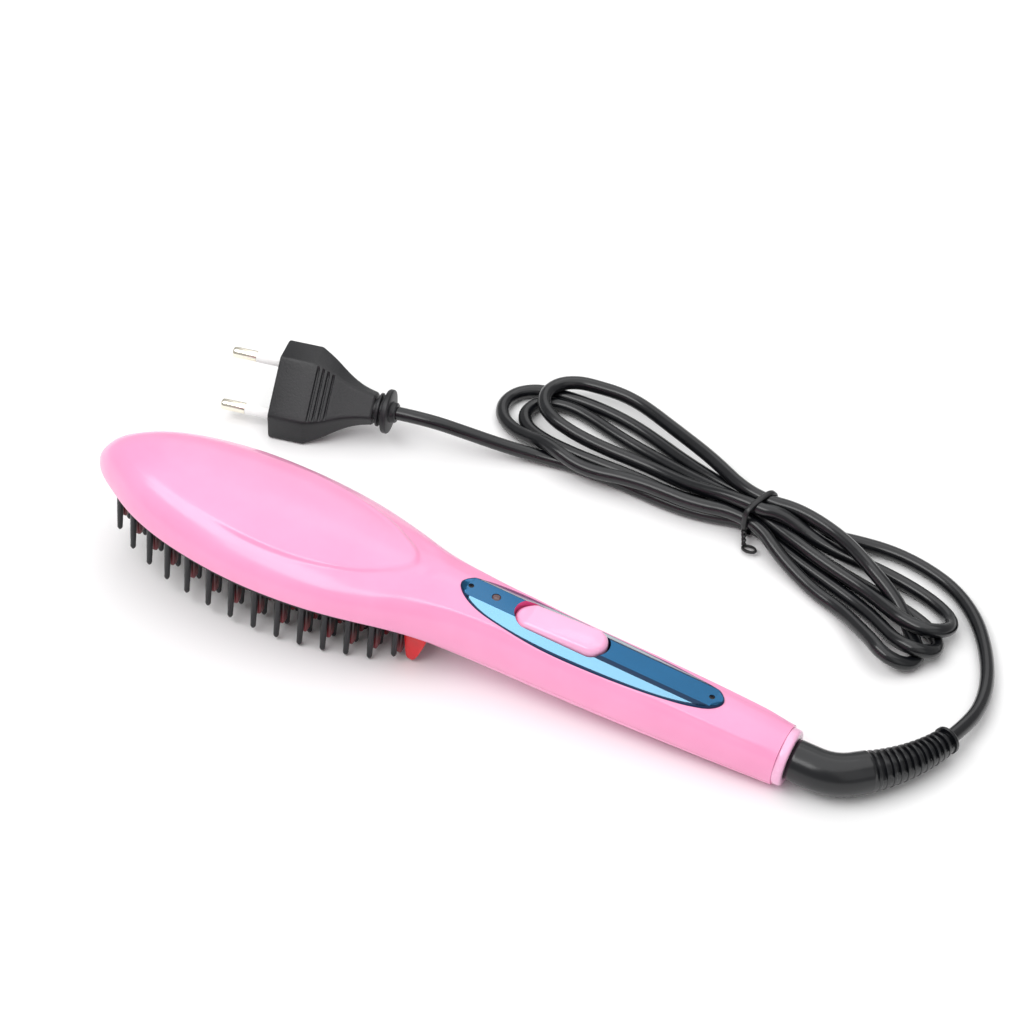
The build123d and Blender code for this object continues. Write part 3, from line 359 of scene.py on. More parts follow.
# painted shade: a near-black copy of the heat plate's red ceramic
PLATE = material("plate_painted_shade", (0.022, 0.008, 0.009), 0.5, vary=0.15, scale=260, bump=0.4, bump_scale=1600)
STEEL = material("zinc_steel", (0.60, 0.60, 0.62), 0.34, vary=0.08, scale=500, bump=0.35, metallic=1.0,
                 streak=(1, 1, 8))
DARK_SCREW = material("dark_screw", (0.03, 0.03, 0.036), 0.34, vary=0.15, scale=700, bump=0.4, metallic=0.7)
ALUMINA = material("alumina", (0.86, 0.85, 0.80), 0.7, vary=0.05, scale=420, bump=0.5, bump_scale=1600)
MICA = material("mica", (0.66, 0.55, 0.33), 0.35, vary=0.2, scale=260, bump=0.4, streak=(1, 1, 20), sheen=0.2)
BOARD = material("board_green", (0.02, 0.20, 0.08), 0.4, vary=0.2, scale=330, bump=0.5, coat=0.3)
YELLOW = material("component_yellow", (0.78, 0.56, 0.06), 0.38, vary=0.06, scale=260, bump=0.3)
BLACKC = material("component_black", (0.03, 0.03, 0.032), 0.55, vary=0.15, scale=300, bump=0.6)
LED = material("led_epoxy", (0.06, 0.03, 0.035), 0.15, vary=0.1, scale=500, bump=0.1, coat=0.6, alt=(0.10, 0.035, 0.04))
WIRE = material("silicone_wire", (0.84, 0.83, 0.80), 0.45, vary=0.04, scale=300, bump=0.3, sheen=0.1)
GLASSY = material("fuse_ceramic", (0.80, 0.81, 0.79), 0.3, vary=0.04, scale=300, bump=0.3, coat=0.4)


def paint_root_shade(m, root, lo, hi):
    """Paints shade onto a finish: darker towards the teeth's roots, measured square to the comb."""
    nt = m.node_tree
    bsdf = nt.nodes["Principled BSDF"]
    base = bsdf.inputs["Base Color"].links[0].from_socket
    coord = nt.nodes.new("ShaderNodeTexCoord")
    dot = nt.nodes.new("ShaderNodeVectorMath")
    dot.operation = "DOT_PRODUCT"
    nt.links.new(coord.outputs["Object"], dot.inputs[0])
    dot.inputs[1].default_value = (PS, 0.0, PC)
    level = nt.nodes.new("ShaderNodeMapRange")
    const = -(CENTRE_X * PS + REST_Z * PC) / 1000.0
    level.inputs["From Min"].default_value = lo / 1000.0 + const
    level.inputs["From Max"].default_value = hi / 1000.0 + const
    nt.links.new(dot.outputs["Value"], level.inputs["Value"])
    mix = nt.nodes.new("ShaderNodeMix")
    mix.data_type = "RGBA"
    mix.inputs["B"].default_value = (*root, 1)
    nt.links.new(level.outputs["Result"], mix.inputs["Factor"])
    nt.links.new(base, mix.inputs["A"])
    nt.links.new(mix.outputs["Result"], bsdf.inputs["Base Color"])
    return m


# painted shade: a dark copy of the red ceramic for the heated teeth under the head, darker still towards their roots
RED_TEETH_PAINTED_SHADE = paint_root_shade(material("red_teeth_painted_shade", (0.20, 0.007, 0.014), 0.34, vary=0.15, scale=240, rough_vary=0.06,
                                 bump=0.4, bump_scale=1700, coat=0.3, coat_rough=0.15), (0.010, 0.004, 0.005), -18.0, -11.0)

# ---------------------------------------------------------------- housing
STATIONS = np.array([
    (-0.1, 0.05, 0.3, 0.05), (0.15, 1.5, 2.0, 0.7), (1.2, 3.7, 4.4, 1.6), (3.0, 5.9, 7.0, 2.1), (6.0, 8.5, 9.8, 2.5), (10.0, 11.2, 12.0, 2.8),
    (20.0, 17.2, 14.9, 3.0), (35.0, 22.7, 16.0, 3.0), (50.0, 25.5, 16.4, 3.0), (65.0, 26.7, 16.4, 3.0),
    (80.0, 26.2, 16.1, 3.0), (95.0, 24.2, 15.5, 3.2), (110.0, 20.4, 14.6, 4.2), (122.0, 16.7, 13.9, 6.6),
    (135.0, 13.5, 13.7, 9.6), (155.0, 11.9, 13.2, 11.2), (180.0, 11.5, 12.3, 11.3), (207.0, 10.9, 11.5, 10.7),
    (231.0, 10.2, 10.5, 9.8), (247.0, 9.4, 9.5, 9.3)])
BED = [(4.6, 0), (6.4, 5.2), (10.6, 9.2), (19.1, 14.2), (27.5, 17.6), (35.9, 20.0), (44.6, 21.8), (53.4, 23.0),
       (62.2, 23.6), (70.9, 23.7), (79.3, 23.2), (87.4, 22.2), (95.2, 20.8), (102.8, 18.9), (110.3, 16.9),
       (117.8, 14.8), (123.8, 12.6), (128.8, 9.4), (131.8, 5.0), (132.8, 0)]
LENS = [(133.2, 0.0), (135.6, 3.6), (140.0, 6.0), (150.0, 8.0), (164.0, 8.9), (181.0, 8.8), (197.5, 8.1),
        (210.0, 6.9), (218.5, 5.2), (223.4, 2.9), (225.0, 0.0)]
PLATEAU = [(8.6, 0), (9.8, 4.4), (13.6, 8.0), (22.0, 11.8), (34.0, 14.9), (50.0, 17.5), (66.0, 18.9), (83.7, 17.8),
           (95.0, 15.2), (103.0, 12.3), (111.0, 7.6), (115.6, 3.6), (117.0, 0)]
LENS_LINE, BED_LINE = closed_curve(LENS), closed_curve(BED)
PLATEAU_LINE = closed_curve(PLATEAU, 260)
lens_half, bed_half = half_width(LENS_LINE), half_width(BED_LINE)
FACET, BEVEL, FALL = 3.9, 0.72, 0.03


def lens_top(x):
    return 13.75 - (x - 145.0) * FALL


def sizes(x):
    """Half width, height up and depth down of the body at x, fair curves."""
    x = np.asarray(x, float)
    t = np.r_[0, np.cumsum(np.hypot(np.diff(STATIONS[:, 0]), np.diff(STATIONS[:, 1])))]
    q = np.linspace(0, t[-1], 4001)
    table = cubic(t, STATIONS, q)
    xs = np.maximum.accumulate(table[:, 0])
    out = []
    grid = np.arange(0.0, 247.01, 0.25)
    for k in (1, 2, 3):
        raw = np.interp(grid, xs, table[:, k])
        pad = 40
        ext = np.r_[2 * raw[0] - raw[pad:0:-1], raw, 2 * raw[-1] - raw[-2:-pad - 2:-1]]
        ker = np.exp(-0.5 * (np.arange(-pad, pad + 1) * 0.25 / 3.6) ** 2)
        fair = np.convolve(ext, ker / ker.sum(), mode="same")[pad:-pad]
        mix = smoothstep(12, 30, grid)
        out.append(np.interp(x, grid, raw * (1 - mix) + fair * mix))
    near = x < 1.0
    for k in (0, 1, 2):
        out[k] = np.where(near, np.interp(x, xs, table[:, k + 1]), out[k])
    return out


def fullness(x):
    return 0.64 + 0.03 * smoothstep(118, 140, x)


def section(x, s, w, h, b):
    """Point of the body's section, s -1 under the belly, 0 widest, 1 on the back."""
    k = fullness(x)
    t = np.abs(s)
    v = np.where(s >= 0, h, b)
    c0, c1, c2, c3 = (1 - t) ** 3, 3 * (1 - t) ** 2 * t, 3 * (1 - t) * t ** 2, t ** 3
    y = c0 * w + c1 * w + c2 * k * w
    z = (c1 * k * v + c2 * v + c3 * v) * np.where(s >= 0, 1, -1)
    return y, z


def solve(fn, lo, hi, steps=40):
    """Bisection, fn rising from lo to hi, elementwise."""
    lo, hi = lo.copy(), hi.copy()
    for _ in range(steps):
        mid = (lo + hi) / 2
        up = fn(mid) > 0
        hi, lo = np.where(up, mid, hi), np.where(up, lo, mid)
    return (lo + hi) / 2


def dress(x, y, z, s):
    """Raised teardrop on the head's back and the soft shoulder of the handle."""
    w, h, b = sizes(x)
    ny, nz = y / np.maximum(w, 0.5) ** 2, z / np.maximum(h, 0.5) ** 2
    n = np.hypot(ny, nz) + 1e-9
    ny, nz = ny / n, nz / n
    d = signed_distance(PLATEAU_LINE, x, y).reshape(np.shape(x))
    depth = 0.10 + 0.48 * smoothstep(44, 68, x)
    step = smoothstep(-0.8, 0.8, d) * (1 - smoothstep(3.0, 9.0, d)) * smoothstep(0.02, 0.42, s)
    lip = 0.15 * np.exp(-((d + 1.2) / 0.8) ** 2) * smoothstep(50, 75, x)
    drop = depth * step - lip
    ang = np.degrees(np.arctan2(z / h, np.abs(y) / w))
    ridge = 0.55 * smoothstep(116, 140, x) * (1 - smoothstep(236, 247, x)) * np.exp(-((ang - 47) / 6.5) ** 2)
    valley = 0.22 * smoothstep(60, 118, x) * (1 - smoothstep(125, 150, x)) * np.exp(-((ang - 62) / 10.0) ** 2)
    m = -drop + ridge * (s > 0) - valley * (s > 0)
    return y + ny * m, z + nz * m


def columns(dense):
    xs = [0.0, 0.04, 0.12, 0.25, 0.45, 0.7, 1.0, 1.4, 1.9, 2.5, 3.2, 4.0]
    xs += list(np.arange(5, 247.01, 1.0))
    for a, b, st in dense:
        xs += list(np.arange(a, b, st))
    xs = np.unique(np.round(xs, 3))
    return xs[np.r_[True, np.diff(xs) > 0.02]]


def parting(x):
    return np.interp(x, [-5, 108, 126, 140, 256], [-1.0, -1.0, -3.4, -4.6, -4.6])


def strip(rows_yz, xs, side, build):
    """Rows of (y, z) at each x, laid down and joined as one sheet."""
    verts = []
    for y, z in rows_yz:
        verts.append(lay(np.c_[xs, side * y, z]))
    verts = np.vstack(verts)
    build.add(verts, grid_faces(len(rows_yz), len(xs)))


# back shell
xs = columns([(133.2, 134.4, 0.05), (134.4, 138, 0.25), (138, 150, 0.5), (210, 221, 0.5), (221, 224.2, 0.2),
              (224.2, 225.3, 0.05)])
w, h, b = sizes(xs)
zp = np.maximum(parting(xs), -b * 0.96)
s0 = -solve(lambda t: section(xs, t, w, h, b)[1] * -1 + zp, np.zeros_like(xs), np.ones_like(xs)) * 0
s0 = -solve(lambda t: -section(xs, -t, w, h, b)[1] + zp, np.zeros_like(xs), np.ones_like(xs))
edge = np.where((xs > 133.2) & (xs < 225.0), lens_half(xs) + 0.2, 0.0)
s1 = solve(lambda t: edge - section(xs, t, w, h, b)[0], np.zeros_like(xs), np.ones_like(xs))
s1 = np.where(edge < 0.17, 1.0, s1)
NS = 76
rows = []
for i in range(NS + 1):
    f = i / NS
    s = s0 + (s1 - s0) * f
    y, z = section(xs, s, w, h, b)
    y, z = dress(xs, y, z, s)
    if i == NS:
        y = edge.copy()
    rows.append((y, z))
edge_y, edge_z = rows[-1]
inside = edge > 0.17
# rolled edge of the parting line
py, pz = rows[0]
roll = [(np.maximum(py - 1.9, 0), pz + 0.35), (np.maximum(py - 0.5, 0), pz - 0.02), (np.maximum(py - 0.07, 0), pz + 0.0)]
rows[0] = (np.maximum(py - 0.01, 0), pz + 0.05)
pocket = []
for dy, dz in ((0.10, 0.03), (0.16, 0.10), (0.18, 0.22), (0.18, 1.2), (0.18, 2.3), (1.9, 2.35)):
    pocket.append((np.where(inside, np.maximum(edge_y - dy, 0.0), 0.0), np.where(inside, edge_z - dz, edge_z)))
rows_all = roll + rows + pocket
shell = Build()
for side in (1, -1):
    strip(rows_all, xs, side, shell)


def close_nose(rows_, build):
    """Closes the first column's loop at the head's tip."""
    loop = [(xs[0], y[0], z[0]) for y, z in rows_] + [(xs[0], -y[0], z[0]) for y, z in rows_[::-1]]
    build.add(lay(loop), [tuple(range(len(loop)))])


close_nose(rows, shell)
# inner skin
wi, hi_, bi = np.maximum(w - 2.0, 0.02), np.maximum(h - 2.6, 0.02), np.maximum(b - 1.8, 0.02)
keep = xs > 6.0
inner = []
for i in range(13):
    s = s0 + (np.where(inside, s1 * 0.93, 1.0) - s0) * i / 12
    y, z = section(xs, s, wi, hi_, bi)
    inner.append((y[keep], z[keep]))
for side in (1, -1):
    strip(inner, xs[keep], side, shell)
# end wall of the handle, open round the swivel
END_X = 246.98
we, he, be = (float(v[0]) for v in sizes(np.array([END_X])))
ring_y, ring_z = [], []
for s in np.r_[np.linspace(-1, 1, 41), np.linspace(1, -1, 41)[1:-1]]:
    ey_, ez_ = section(END_X, np.array([s]), we, he, be)
    ring_y.append(float(ey_[0]) * (1 if len(ring_y) <= 40 else -1) * 0.996)
    ring_z.append(float(ez_[0]) * 0.996)
ring_y, ring_z = np.array(ring_y), np.array(ring_z)
far = np.hypot(ring_y, ring_z)
wall = []
for r, x in ((None, END_X), (8.0, END_X), (6.65, END_X), (6.6, END_X - 0.1), (6.6, END_X - 3.5)):
    k = 1.0 if r is None else r / far
    wall.append(lay(np.c_[np.full(len(far), x), ring_y * k, ring_z * k]))
shell.add(np.vstack(wall), grid_faces(len(wall), len(far), close=True))
back = new_object("housing_back", shell.v, shell.f, "housing", PINK, sharp=50, replaces=("back_shell",))

# front shell: flanks of the handle and the rim round the bristle bed
xs = columns([(4.3, 5.0, 0.05), (5.0, 7, 0.25), (126, 131, 0.5), (131, 132.6, 0.2), (132.6, 133.2, 0.04)])
w, h, b = sizes(xs)
zp = np.maximum(parting(xs) - 0.10, -b * 0.97)
s0 = -solve(lambda t: -section(xs, -t, w, h, b)[1] + zp, np.zeros_like(xs), np.ones_like(xs))
edge = np.where((xs > 4.3) & (xs < 133.1), bed_half(np.clip(4.6 + (xs - 4.3) * (128.2 / 128.8), 4.6, 132.8)) + 0.3, 0.0)
edge = np.where(edge <= 0.31, 0.0, edge)
edge = np.minimum(edge, w * 0.985)
s1 = -solve(lambda t: edge - section(xs, -t, w, h, b)[0], np.zeros_like(xs), np.ones_like(xs))
s1 = np.where(edge == 0, -1.0, np.minimum(s1, s0 - 0.02))
rows = []
NF = 34
for i in range(NF + 1):
    s = s0 + (s1 - s0) * i / NF
    y, z = section(xs, s, w, h, b)
    if i == NF:
        y = np.where(edge > 0, edge, 0.0)
    rows.append((y, z))
py, pz = rows[0]
roll = [(np.maximum(py - 1.9, 0), pz - 0.35), (np.maximum(py - 0.5, 0), pz + 0.02), (np.maximum(py - 0.07, 0), pz - 0.0)]
rows[0] = (np.maximum(py - 0.01, 0), pz - 0.05)
ey, ez = rows[-1]
inside = edge > 0
pocket = []
for dy, dz in ((0.10, -0.04), (0.2, 0.06), (0.24, 0.25), (0.24, 1.6), (0.24, 2.6)):
    pocket.append((np.where(inside, np.maximum(ey - dy, 0), 0), np.where(inside, np.minimum(ez + dz, -0.2), ez)))
shell = Build()
for side in (1, -1):
    strip(roll + rows + pocket, xs, side, shell)
close_nose(rows, shell)
wi, hi_, bi = np.maximum(w - 2.0, 0.02), np.maximum(h - 2.6, 0.02), np.maximum(b - 1.8, 0.02)
keep = xs > 134.0
inner = []
for i in range(9):
    s = s0 + (-1.0 - s0) * i / 8
    y, z = section(xs, s, wi, hi_, bi)
    inner.append((y[keep], z[keep]))
for side in (1, -1):
    strip(inner, xs[keep], side, shell)
front = new_object("housing_front", shell.v, shell.f, "housing", PINK, sharp=50, replaces=("front_shell",))


def carve(ob, verts, faces):
    """Takes the closed form away from ob, with the result applied."""
    mesh = bpy.data.meshes.new("cutter")
    mesh.from_pydata([tuple(v) for v in verts], [], [tuple(f) for f in faces])
    bm = bmesh.new()
    bm.from_mesh(mesh)
    bmesh.ops.recalc_face_normals(bm, faces=bm.faces)
    bm.to_mesh(mesh)
    bm.free()
    cutter = bpy.data.objects.new("cutter", mesh)
    bpy.context.scene.collection.objects.link(cutter)
    mod = ob.modifiers.new("carve", "BOOLEAN")
    mod.operation, mod.solver, mod.object = "DIFFERENCE", "EXACT", cutter
    bpy.context.view_layer.update()
    done = bpy.data.meshes.new_from_object(ob.evaluated_get(bpy.context.evaluated_depsgraph_get()))
    ob.modifiers.clear()
    ob.data = done
    bpy.data.objects.remove(cutter)


def resharpen(ob, angle):
    bm = bmesh.new()
    bm.from_mesh(ob.data)
    for f in bm.faces:
        f.smooth = True
    for e in bm.edges:
        e.smooth = not (len(e.link_faces) == 2 and e.calc_face_angle(0) > math.radians(angle))
    bm.to_mesh(ob.data)
    bm.free()


def slot_ring(half_straight, r, n=20):
    """Capsule outline in x and y."""
    out = []
    for i in range(n + 1):
        a = -math.pi / 2 + math.pi * i / n
        out.append((half_straight + r * math.cos(a), r * math.sin(a)))
    for i in range(n + 1):
        a = math.pi / 2 + math.pi * i / n
        out.append((-half_straight + r * math.cos(a), r * math.sin(a)))
    return out


def circle_ring(r, n=24):
    return [(r * math.cos(2 * math.pi * i / n), r * math.sin(2 * math.pi * i / n)) for i in range(n)]


# tinted lens with its flat facet and side bevels
xs = np.unique(np.round(np.r_[np.arange(133.2, 134.2, 0.05), np.arange(134.2, 140, 0.3), np.arange(140, 218, 1.5),
                              np.arange(218, 223.6, 0.35), np.arange(223.6, 225.01, 0.05)], 3))
half = np.maximum(lens_half(xs), 0.001)
top = Build()
profile = []
for inset, drop in ((0.0, 2.0), (0.0, 0.28), (0.06, 0.10), (0.22, 0.0)):
    y = np.maximum(half - inset, 0.0005)
    profile.append((y, lens_top(xs) - np.maximum(0, y - FACET) * BEVEL - drop))
profile.append((np.maximum(half - 0.66, 0.0005),
                lens_top(xs) - np.maximum(0, np.maximum(half - 0.66, 0.0005) - FACET) * BEVEL))
for stop in (5.0, 4.02, 3.78):
    y = np.minimum(stop, np.maximum(half - 0.22, 0.0005))
    z = lens_top(xs) - np.maximum(0, y - FACET) * BEVEL
    if stop < FACET:
        z = lens_top(xs) - 0.0 * y
    profile.append((y, z))
full = profile + [(-y, z) for y, z in profile[::-1]]
verts = np.vstack([lay(np.c_[xs, y, z]) for y, z in full])
faces = grid_faces(len(full), len(xs))
n = len(xs)
under = grid_faces(2, n)
faces += [tuple({0: a, 1: a}[0] if a < n else a - n + (len(full) - 1) * n for a in f)[::-1] for f in under]
top.add(verts, faces)
# the two blunt ends
for j in (0, n - 1):
    ring = [r * n + j for r in range(len(full))]
    top.f.append(tuple(ring if j else ring[::-1]))
lens = new_object("tinted_lens", top.v, top.f, "housing", LENS_BLUE, replaces=("display_lens",))
cut = Build()
for cx, ring in ((169.0, slot_ring(10.7, 5.7)), (136.6, circle_ring(0.95)), (221.0, circle_ring(0.95)),
                 (145.6, circle_ring(1.5))):
    cut.rings([lay([(cx + x, y, z) for x, y in ring]) for z in (4.0, 20.0)])
carve(lens, cut.v, cut.f)
resharpen(lens, 9)
# painted dark reflection: the dark rim round the lens, its faces below the top and the dark band between the facet and
# the near bevel
lens.data.materials.append(LENS_DARK_REFLECTION)
mid = np.array([tuple(p.center) for p in lens.data.polygons]) * 1000.0
rx, rz = mid[:, 0] + CENTRE_X, mid[:, 2] + REST_Z
comb_x, comb_z = rx * PC - rz * PS, rx * PS + rz * PC
lens.data.materials.append(PINK_PAINTED_SHADE)
lens.data.materials.append(LENS_BEVEL_PAINTED_REFLECTION)
rim = signed_distance(LENS_LINE, comb_x, mid[:, 1])
for p, d_, z_, x_ in zip(lens.data.polygons, rim, comb_z, comb_x):
    y_ = abs(mid[p.index, 1])
    deep = z_ < lens_top(x_) - 0.35 - max(0.0, y_ - FACET) * BEVEL
    # painted shade: the slot's head end under the sunk rocker is coloured darker pink
    if deep and math.hypot(max(0.0, abs(x_ - 169.0) - 10.7), y_) < 5.9 and x_ < 160:
        p.material_index = 2
    # painted dark reflection: rim, faces below the top and the band between facet and bevel
    elif d_ > -0.6 or deep or (x_ > 176 and 3.85 < y_ < 5.0):
        p.material_index = 1
    # painted reflection: the bevels take the lighter copy of the lens finish
    elif y_ > 3.9:
        p.material_index = 3

# rocker, its head-side end sunk
TILT = math.radians(3.6)
LEVEL = math.atan(FALL)
RC, RS = math.cos(TILT - LEVEL), math.sin(TILT - LEVEL)


def on_rocker(x, y, z):
    """Rocker coordinates about its pivot into the comb frame."""
    return (169.0 + x * RC - z * RS, y, 7.55 + x * RS + z * RC)


RTOP = lens_top(169.0) + 1.0 - 7.55
rings = []
for inset, drop in [(0.35, RTOP + 1.9), (0.0, RTOP + 1.4), (0.0, 2.2)] + \
        [(1.9 - 1.9 * math.cos(math.radians(a)), 1.9 - 1.9 * math.sin(math.radians(a))) for a in range(10, 90, 10)] + \
        [(1.9, 0.0), (2.6, -0.07), (3.4, -0.12), (4.2, -0.16), (5.0, -0.18), (5.24, -0.18)]:
    ring = []
    for x, y in slot_ring(10.4, 5.3 - inset, 24):
        z = RTOP - drop
        if drop < 2.0:
            z -= 1.15 * float(smoothstep(-8.6, -14.4, x)) + 0.25 * float(smoothstep(9.5, 15.0, x))
        ring.append(on_rocker(x, y, z))
    rings.append(lay(ring))
button = Build()
button.rings(rings)
new_object("rocker_cap", button.v, button.f, "rocker", PINK_BUTTON, sharp=40, replaces=("power_rocker",))


def lathe(profile, at_point, axis, n=40, build=None):
    """Turned form: profile of (distance along the axis, radius)."""
    axis = Vector(axis).normalized()
    u = axis.orthogonal().normalized()
    v = axis.cross(u)
    rings = []
    for d, r in profile:
        rings.append([tuple(Vector(at_point) + axis * d + (u * math.cos(2 * math.pi * i / n)
                                                          + v * math.sin(2 * math.pi * i / n)) * max(r, 1e-4))
                      for i in range(n)])
    build.rings(rings)


AX = (PC, 0, -PS)
UPV = (PS, 0, PC)


def mm(p):
    return tuple(c / 1000 for c in p)


def lathe_comb(profile, x, y, z, axis, n, build):
    """Turned form placed in the comb frame, profile in mm."""
    base = lay([(x, y, z)])[0]
    lathe([(d / 1000, r / 1000) for d, r in profile], base, axis, n, build)


# indicator window and lens screws
dot = Build()
lathe_comb([(-5.6, 0.5), (-5.6, 1.4), (-0.5, 1.4), (-0.12, 1.38), (-0.03, 1.2), (0.03, 0.7), (0.05, 0.05)],
           145.6, 0, lens_top(145.6), UPV, 28, dot)
new_object("indicator", dot.v, dot.f, "housing", LED, sharp=40, replaces=("led_indicator",))
screws = Build()
for x in (136.6, 221.0):
    lathe_comb([(-3.5, 0.4), (-3.2, 0.55), (-1.2, 0.55), (-1.1, 0.88), (-0.35, 0.88), (-0.22, 0.8), (-0.18, 0.5),
                (-0.5, 0.42), (-0.55, 0.02)], x, 0, lens_top(x), UPV, 24, screws)
new_object("panel_screws", screws.v, screws.f, "housing", DARK_SCREW, sharp=40, replaces=("lens_screws",))

# tail ring
ring = Build()
n = 72
prof = [(247.0, 6.6), (247.0, 9.2), (247.1, 9.32), (247.45, 9.35), (248.9, 9.33), (249.35, 9.24), (249.7, 9.0),
        (249.93, 8.65), (250.0, 8.25), (250.0, 7.0), (249.85, 6.66), (249.6, 6.6), (247.0, 6.6)]
verts = []
for x, r in prof:
    verts += [(x, r * math.cos(2 * math.pi * i / n), r * math.sin(2 * math.pi * i / n)) for i in range(n)]
ring.add(lay(verts), grid_faces(len(prof), n, close=True))
new_object("tail_ring", ring.v, ring.f, "housing", PALE_PINK, sharp=60, replaces=("tail_collar",))

# ---------------------------------------------------------------- bristles and heated teeth
ROWS = [(10.6, 5.8), (19.1, 11.2), (27.5, 14.6), (35.9, 17.2), (44.6, 19.0), (53.4, 20.2), (62.2, 20.9), (70.9, 21.0),
        (79.3, 20.6), (87.4, 19.7), (95.2, 18.4), (102.8, 16.6), (110.3, 14.5), (117.8, 12.2)]
spots = []
for x, ye in ROWS:
    k = max(2, int(round(2 * ye / 7.0)))
    spots.append((x, [-ye + 2 * ye * i / k for i in range(k + 1)]))
comb = Build()
for x, ys in spots:
    tip = TIP_Z if x <= TIP_RISE_FROM else TIP_Z + (x - TIP_RISE_FROM) * math.tan(PITCH)
    if x > 115:
        tip += 2.4
    L = -4.4 - tip
    for y in ys:
        lathe_comb([(-1.6, 0.66), (0.0, 0.66), (0.02, 1.32), (0.45, 1.3), (1.0, 1.2), (2.0, 1.16), (L * 0.55, 1.07),
                    (L - 2.2, 0.93), (L - 1.7, 0.96), (L - 1.2, 0.88), (L - 0.6, 0.6), (L - 0.2, 0.3),
                    (L - 0.01, 0.03)], x, y, -4.4, (-PS, 0, -PC), 14, comb)
new_object("long_bristles", comb.v, comb.f, "housing", NYLON, sharp=50, replaces=("bristles",))

teeth = Build()


def tooth(cx, cy, levels):
    """Flat tooth: levels of (z, half length, half width, centre shift)."""
    rings = []
    for z, a, c, sh in levels:
        r = min(a, c) * 0.55
        ring = []
        for qx, qy, a0 in ((1, 1, 0), (-1, 1, 90), (-1, -1, 180), (1, -1, 270)):
            for q in range(4):
                t = math.radians(a0 + q * 30)
                ring.append((cx + sh + qx * (a - r) + r * math.cos(t), cy + qy * (c - r) + r * math.sin(t), z))
        rings.append(lay(ring))
    teeth.rings(rings)


for x, ys in spots:
    for ya, yb in zip(ys, ys[1:]):
        c = min(2.0, (yb - ya) / 2 - 1.25)
        tooth(x, (ya + yb) / 2, [(-2.6, 1.48, c - 0.02, 0), (-4.4, 1.48, c - 0.03, 0), (-9.5, 1.46, c - 0.2, 0),
                                 (-15.0, 1.4, c - 0.38, 0), (-18.3, 1.25, c - 0.5, 0), (-19.0, 1.05, c - 0.75, 0),
                                 (-19.35, 0.7, c - 1.05, 0), (-19.48, 0.35, 0.3, 0)])
new_object("red_teeth", teeth.v, teeth.f, "housing", RED_TEETH_PAINTED_SHADE, sharp=50, replaces=("heated_teeth",))
teeth = Build()
for y in (-9.0, 9.0):
    tooth(123.4, y, [(-2.6, 3.85, 0.88, 0), (-6.0, 3.85, 0.88, 0), (-10.0, 3.8, 0.88, 0), (-13.0, 3.2, 0.88, -0.22),
                     (-16.6, 2.35, 0.86, -0.58), (-18.5, 1.75, 0.84, -0.8), (-19.3, 1.2, 0.74, -0.9),
                     (-19.75, 0.7, 0.5, -0.9), (-19.88, 0.35, 0.28, -0.9)])
new_object("red_end_teeth", teeth.v, teeth.f, "housing", RED, sharp=50, replaces=("heated_teeth",))


# ---------------------------------------------------------------- strain relief
TAIL = Vector((124.34678543820277, 0, 9.164764709000835))
TAIL_DIR = Vector((PC, 0, -PS))
BOOT_HEADINGS, BOOT_LENGTH, BOOT_FALL, ELBOW_R = (42.0, 72.0), 31.2, -0.038, 18.0
BOOT_BEND = BOOT_LENGTH / math.radians(BOOT_HEADINGS[1] - BOOT_HEADINGS[0])
CORNER = TAIL + TAIL_DIR * 13.9
H0 = math.radians(BOOT_HEADINGS[0])
START_DIR = Vector((math.cos(H0), math.sin(H0), BOOT_FALL)).normalized()
BOOT_START = CORNER + START_DIR * 11.2
turn = TAIL_DIR.angle(START_DIR)
reach = ELBOW_R * math.tan(turn / 2)
bend_side = (START_DIR - TAIL_DIR * START_DIR.dot(TAIL_DIR)).normalized()
centre = CORNER - TAIL_DIR * reach + bend_side * ELBOW_R
path = []
for i in range(10):
    path.append(TAIL + TAIL_DIR * ((13.9 - reach) * i / 9))
for i in range(1, 41):
    a = turn * i / 40
    path.append(centre + (TAIL_DIR * math.sin(a) - bend_side * math.cos(a)) * ELBOW_R)
arc_end = path[-1]
for i in range(1, 13):
    path.append(arc_end + (BOOT_START - arc_end) * (i / 12))
NB = 320
for i in range(1, NB + 1):
    d = BOOT_LENGTH * i / NB
    hd = H0 + d / BOOT_BEND
    path.append(BOOT_START + Vector((BOOT_BEND * (math.sin(hd) - math.sin(H0)),
                                     BOOT_BEND * (math.cos(H0) - math.cos(hd)), BOOT_FALL * d)))
BOOT_END = path[-1]
lengths = [0.0]
for a, c in zip(path, path[1:]):
    lengths.append(lengths[-1] + (c - a).length)
total = lengths[-1]
ribs_from = total - BOOT_LENGTH
N_BOOT = 48
rings = []
up0 = Vector((0, 0, 1))
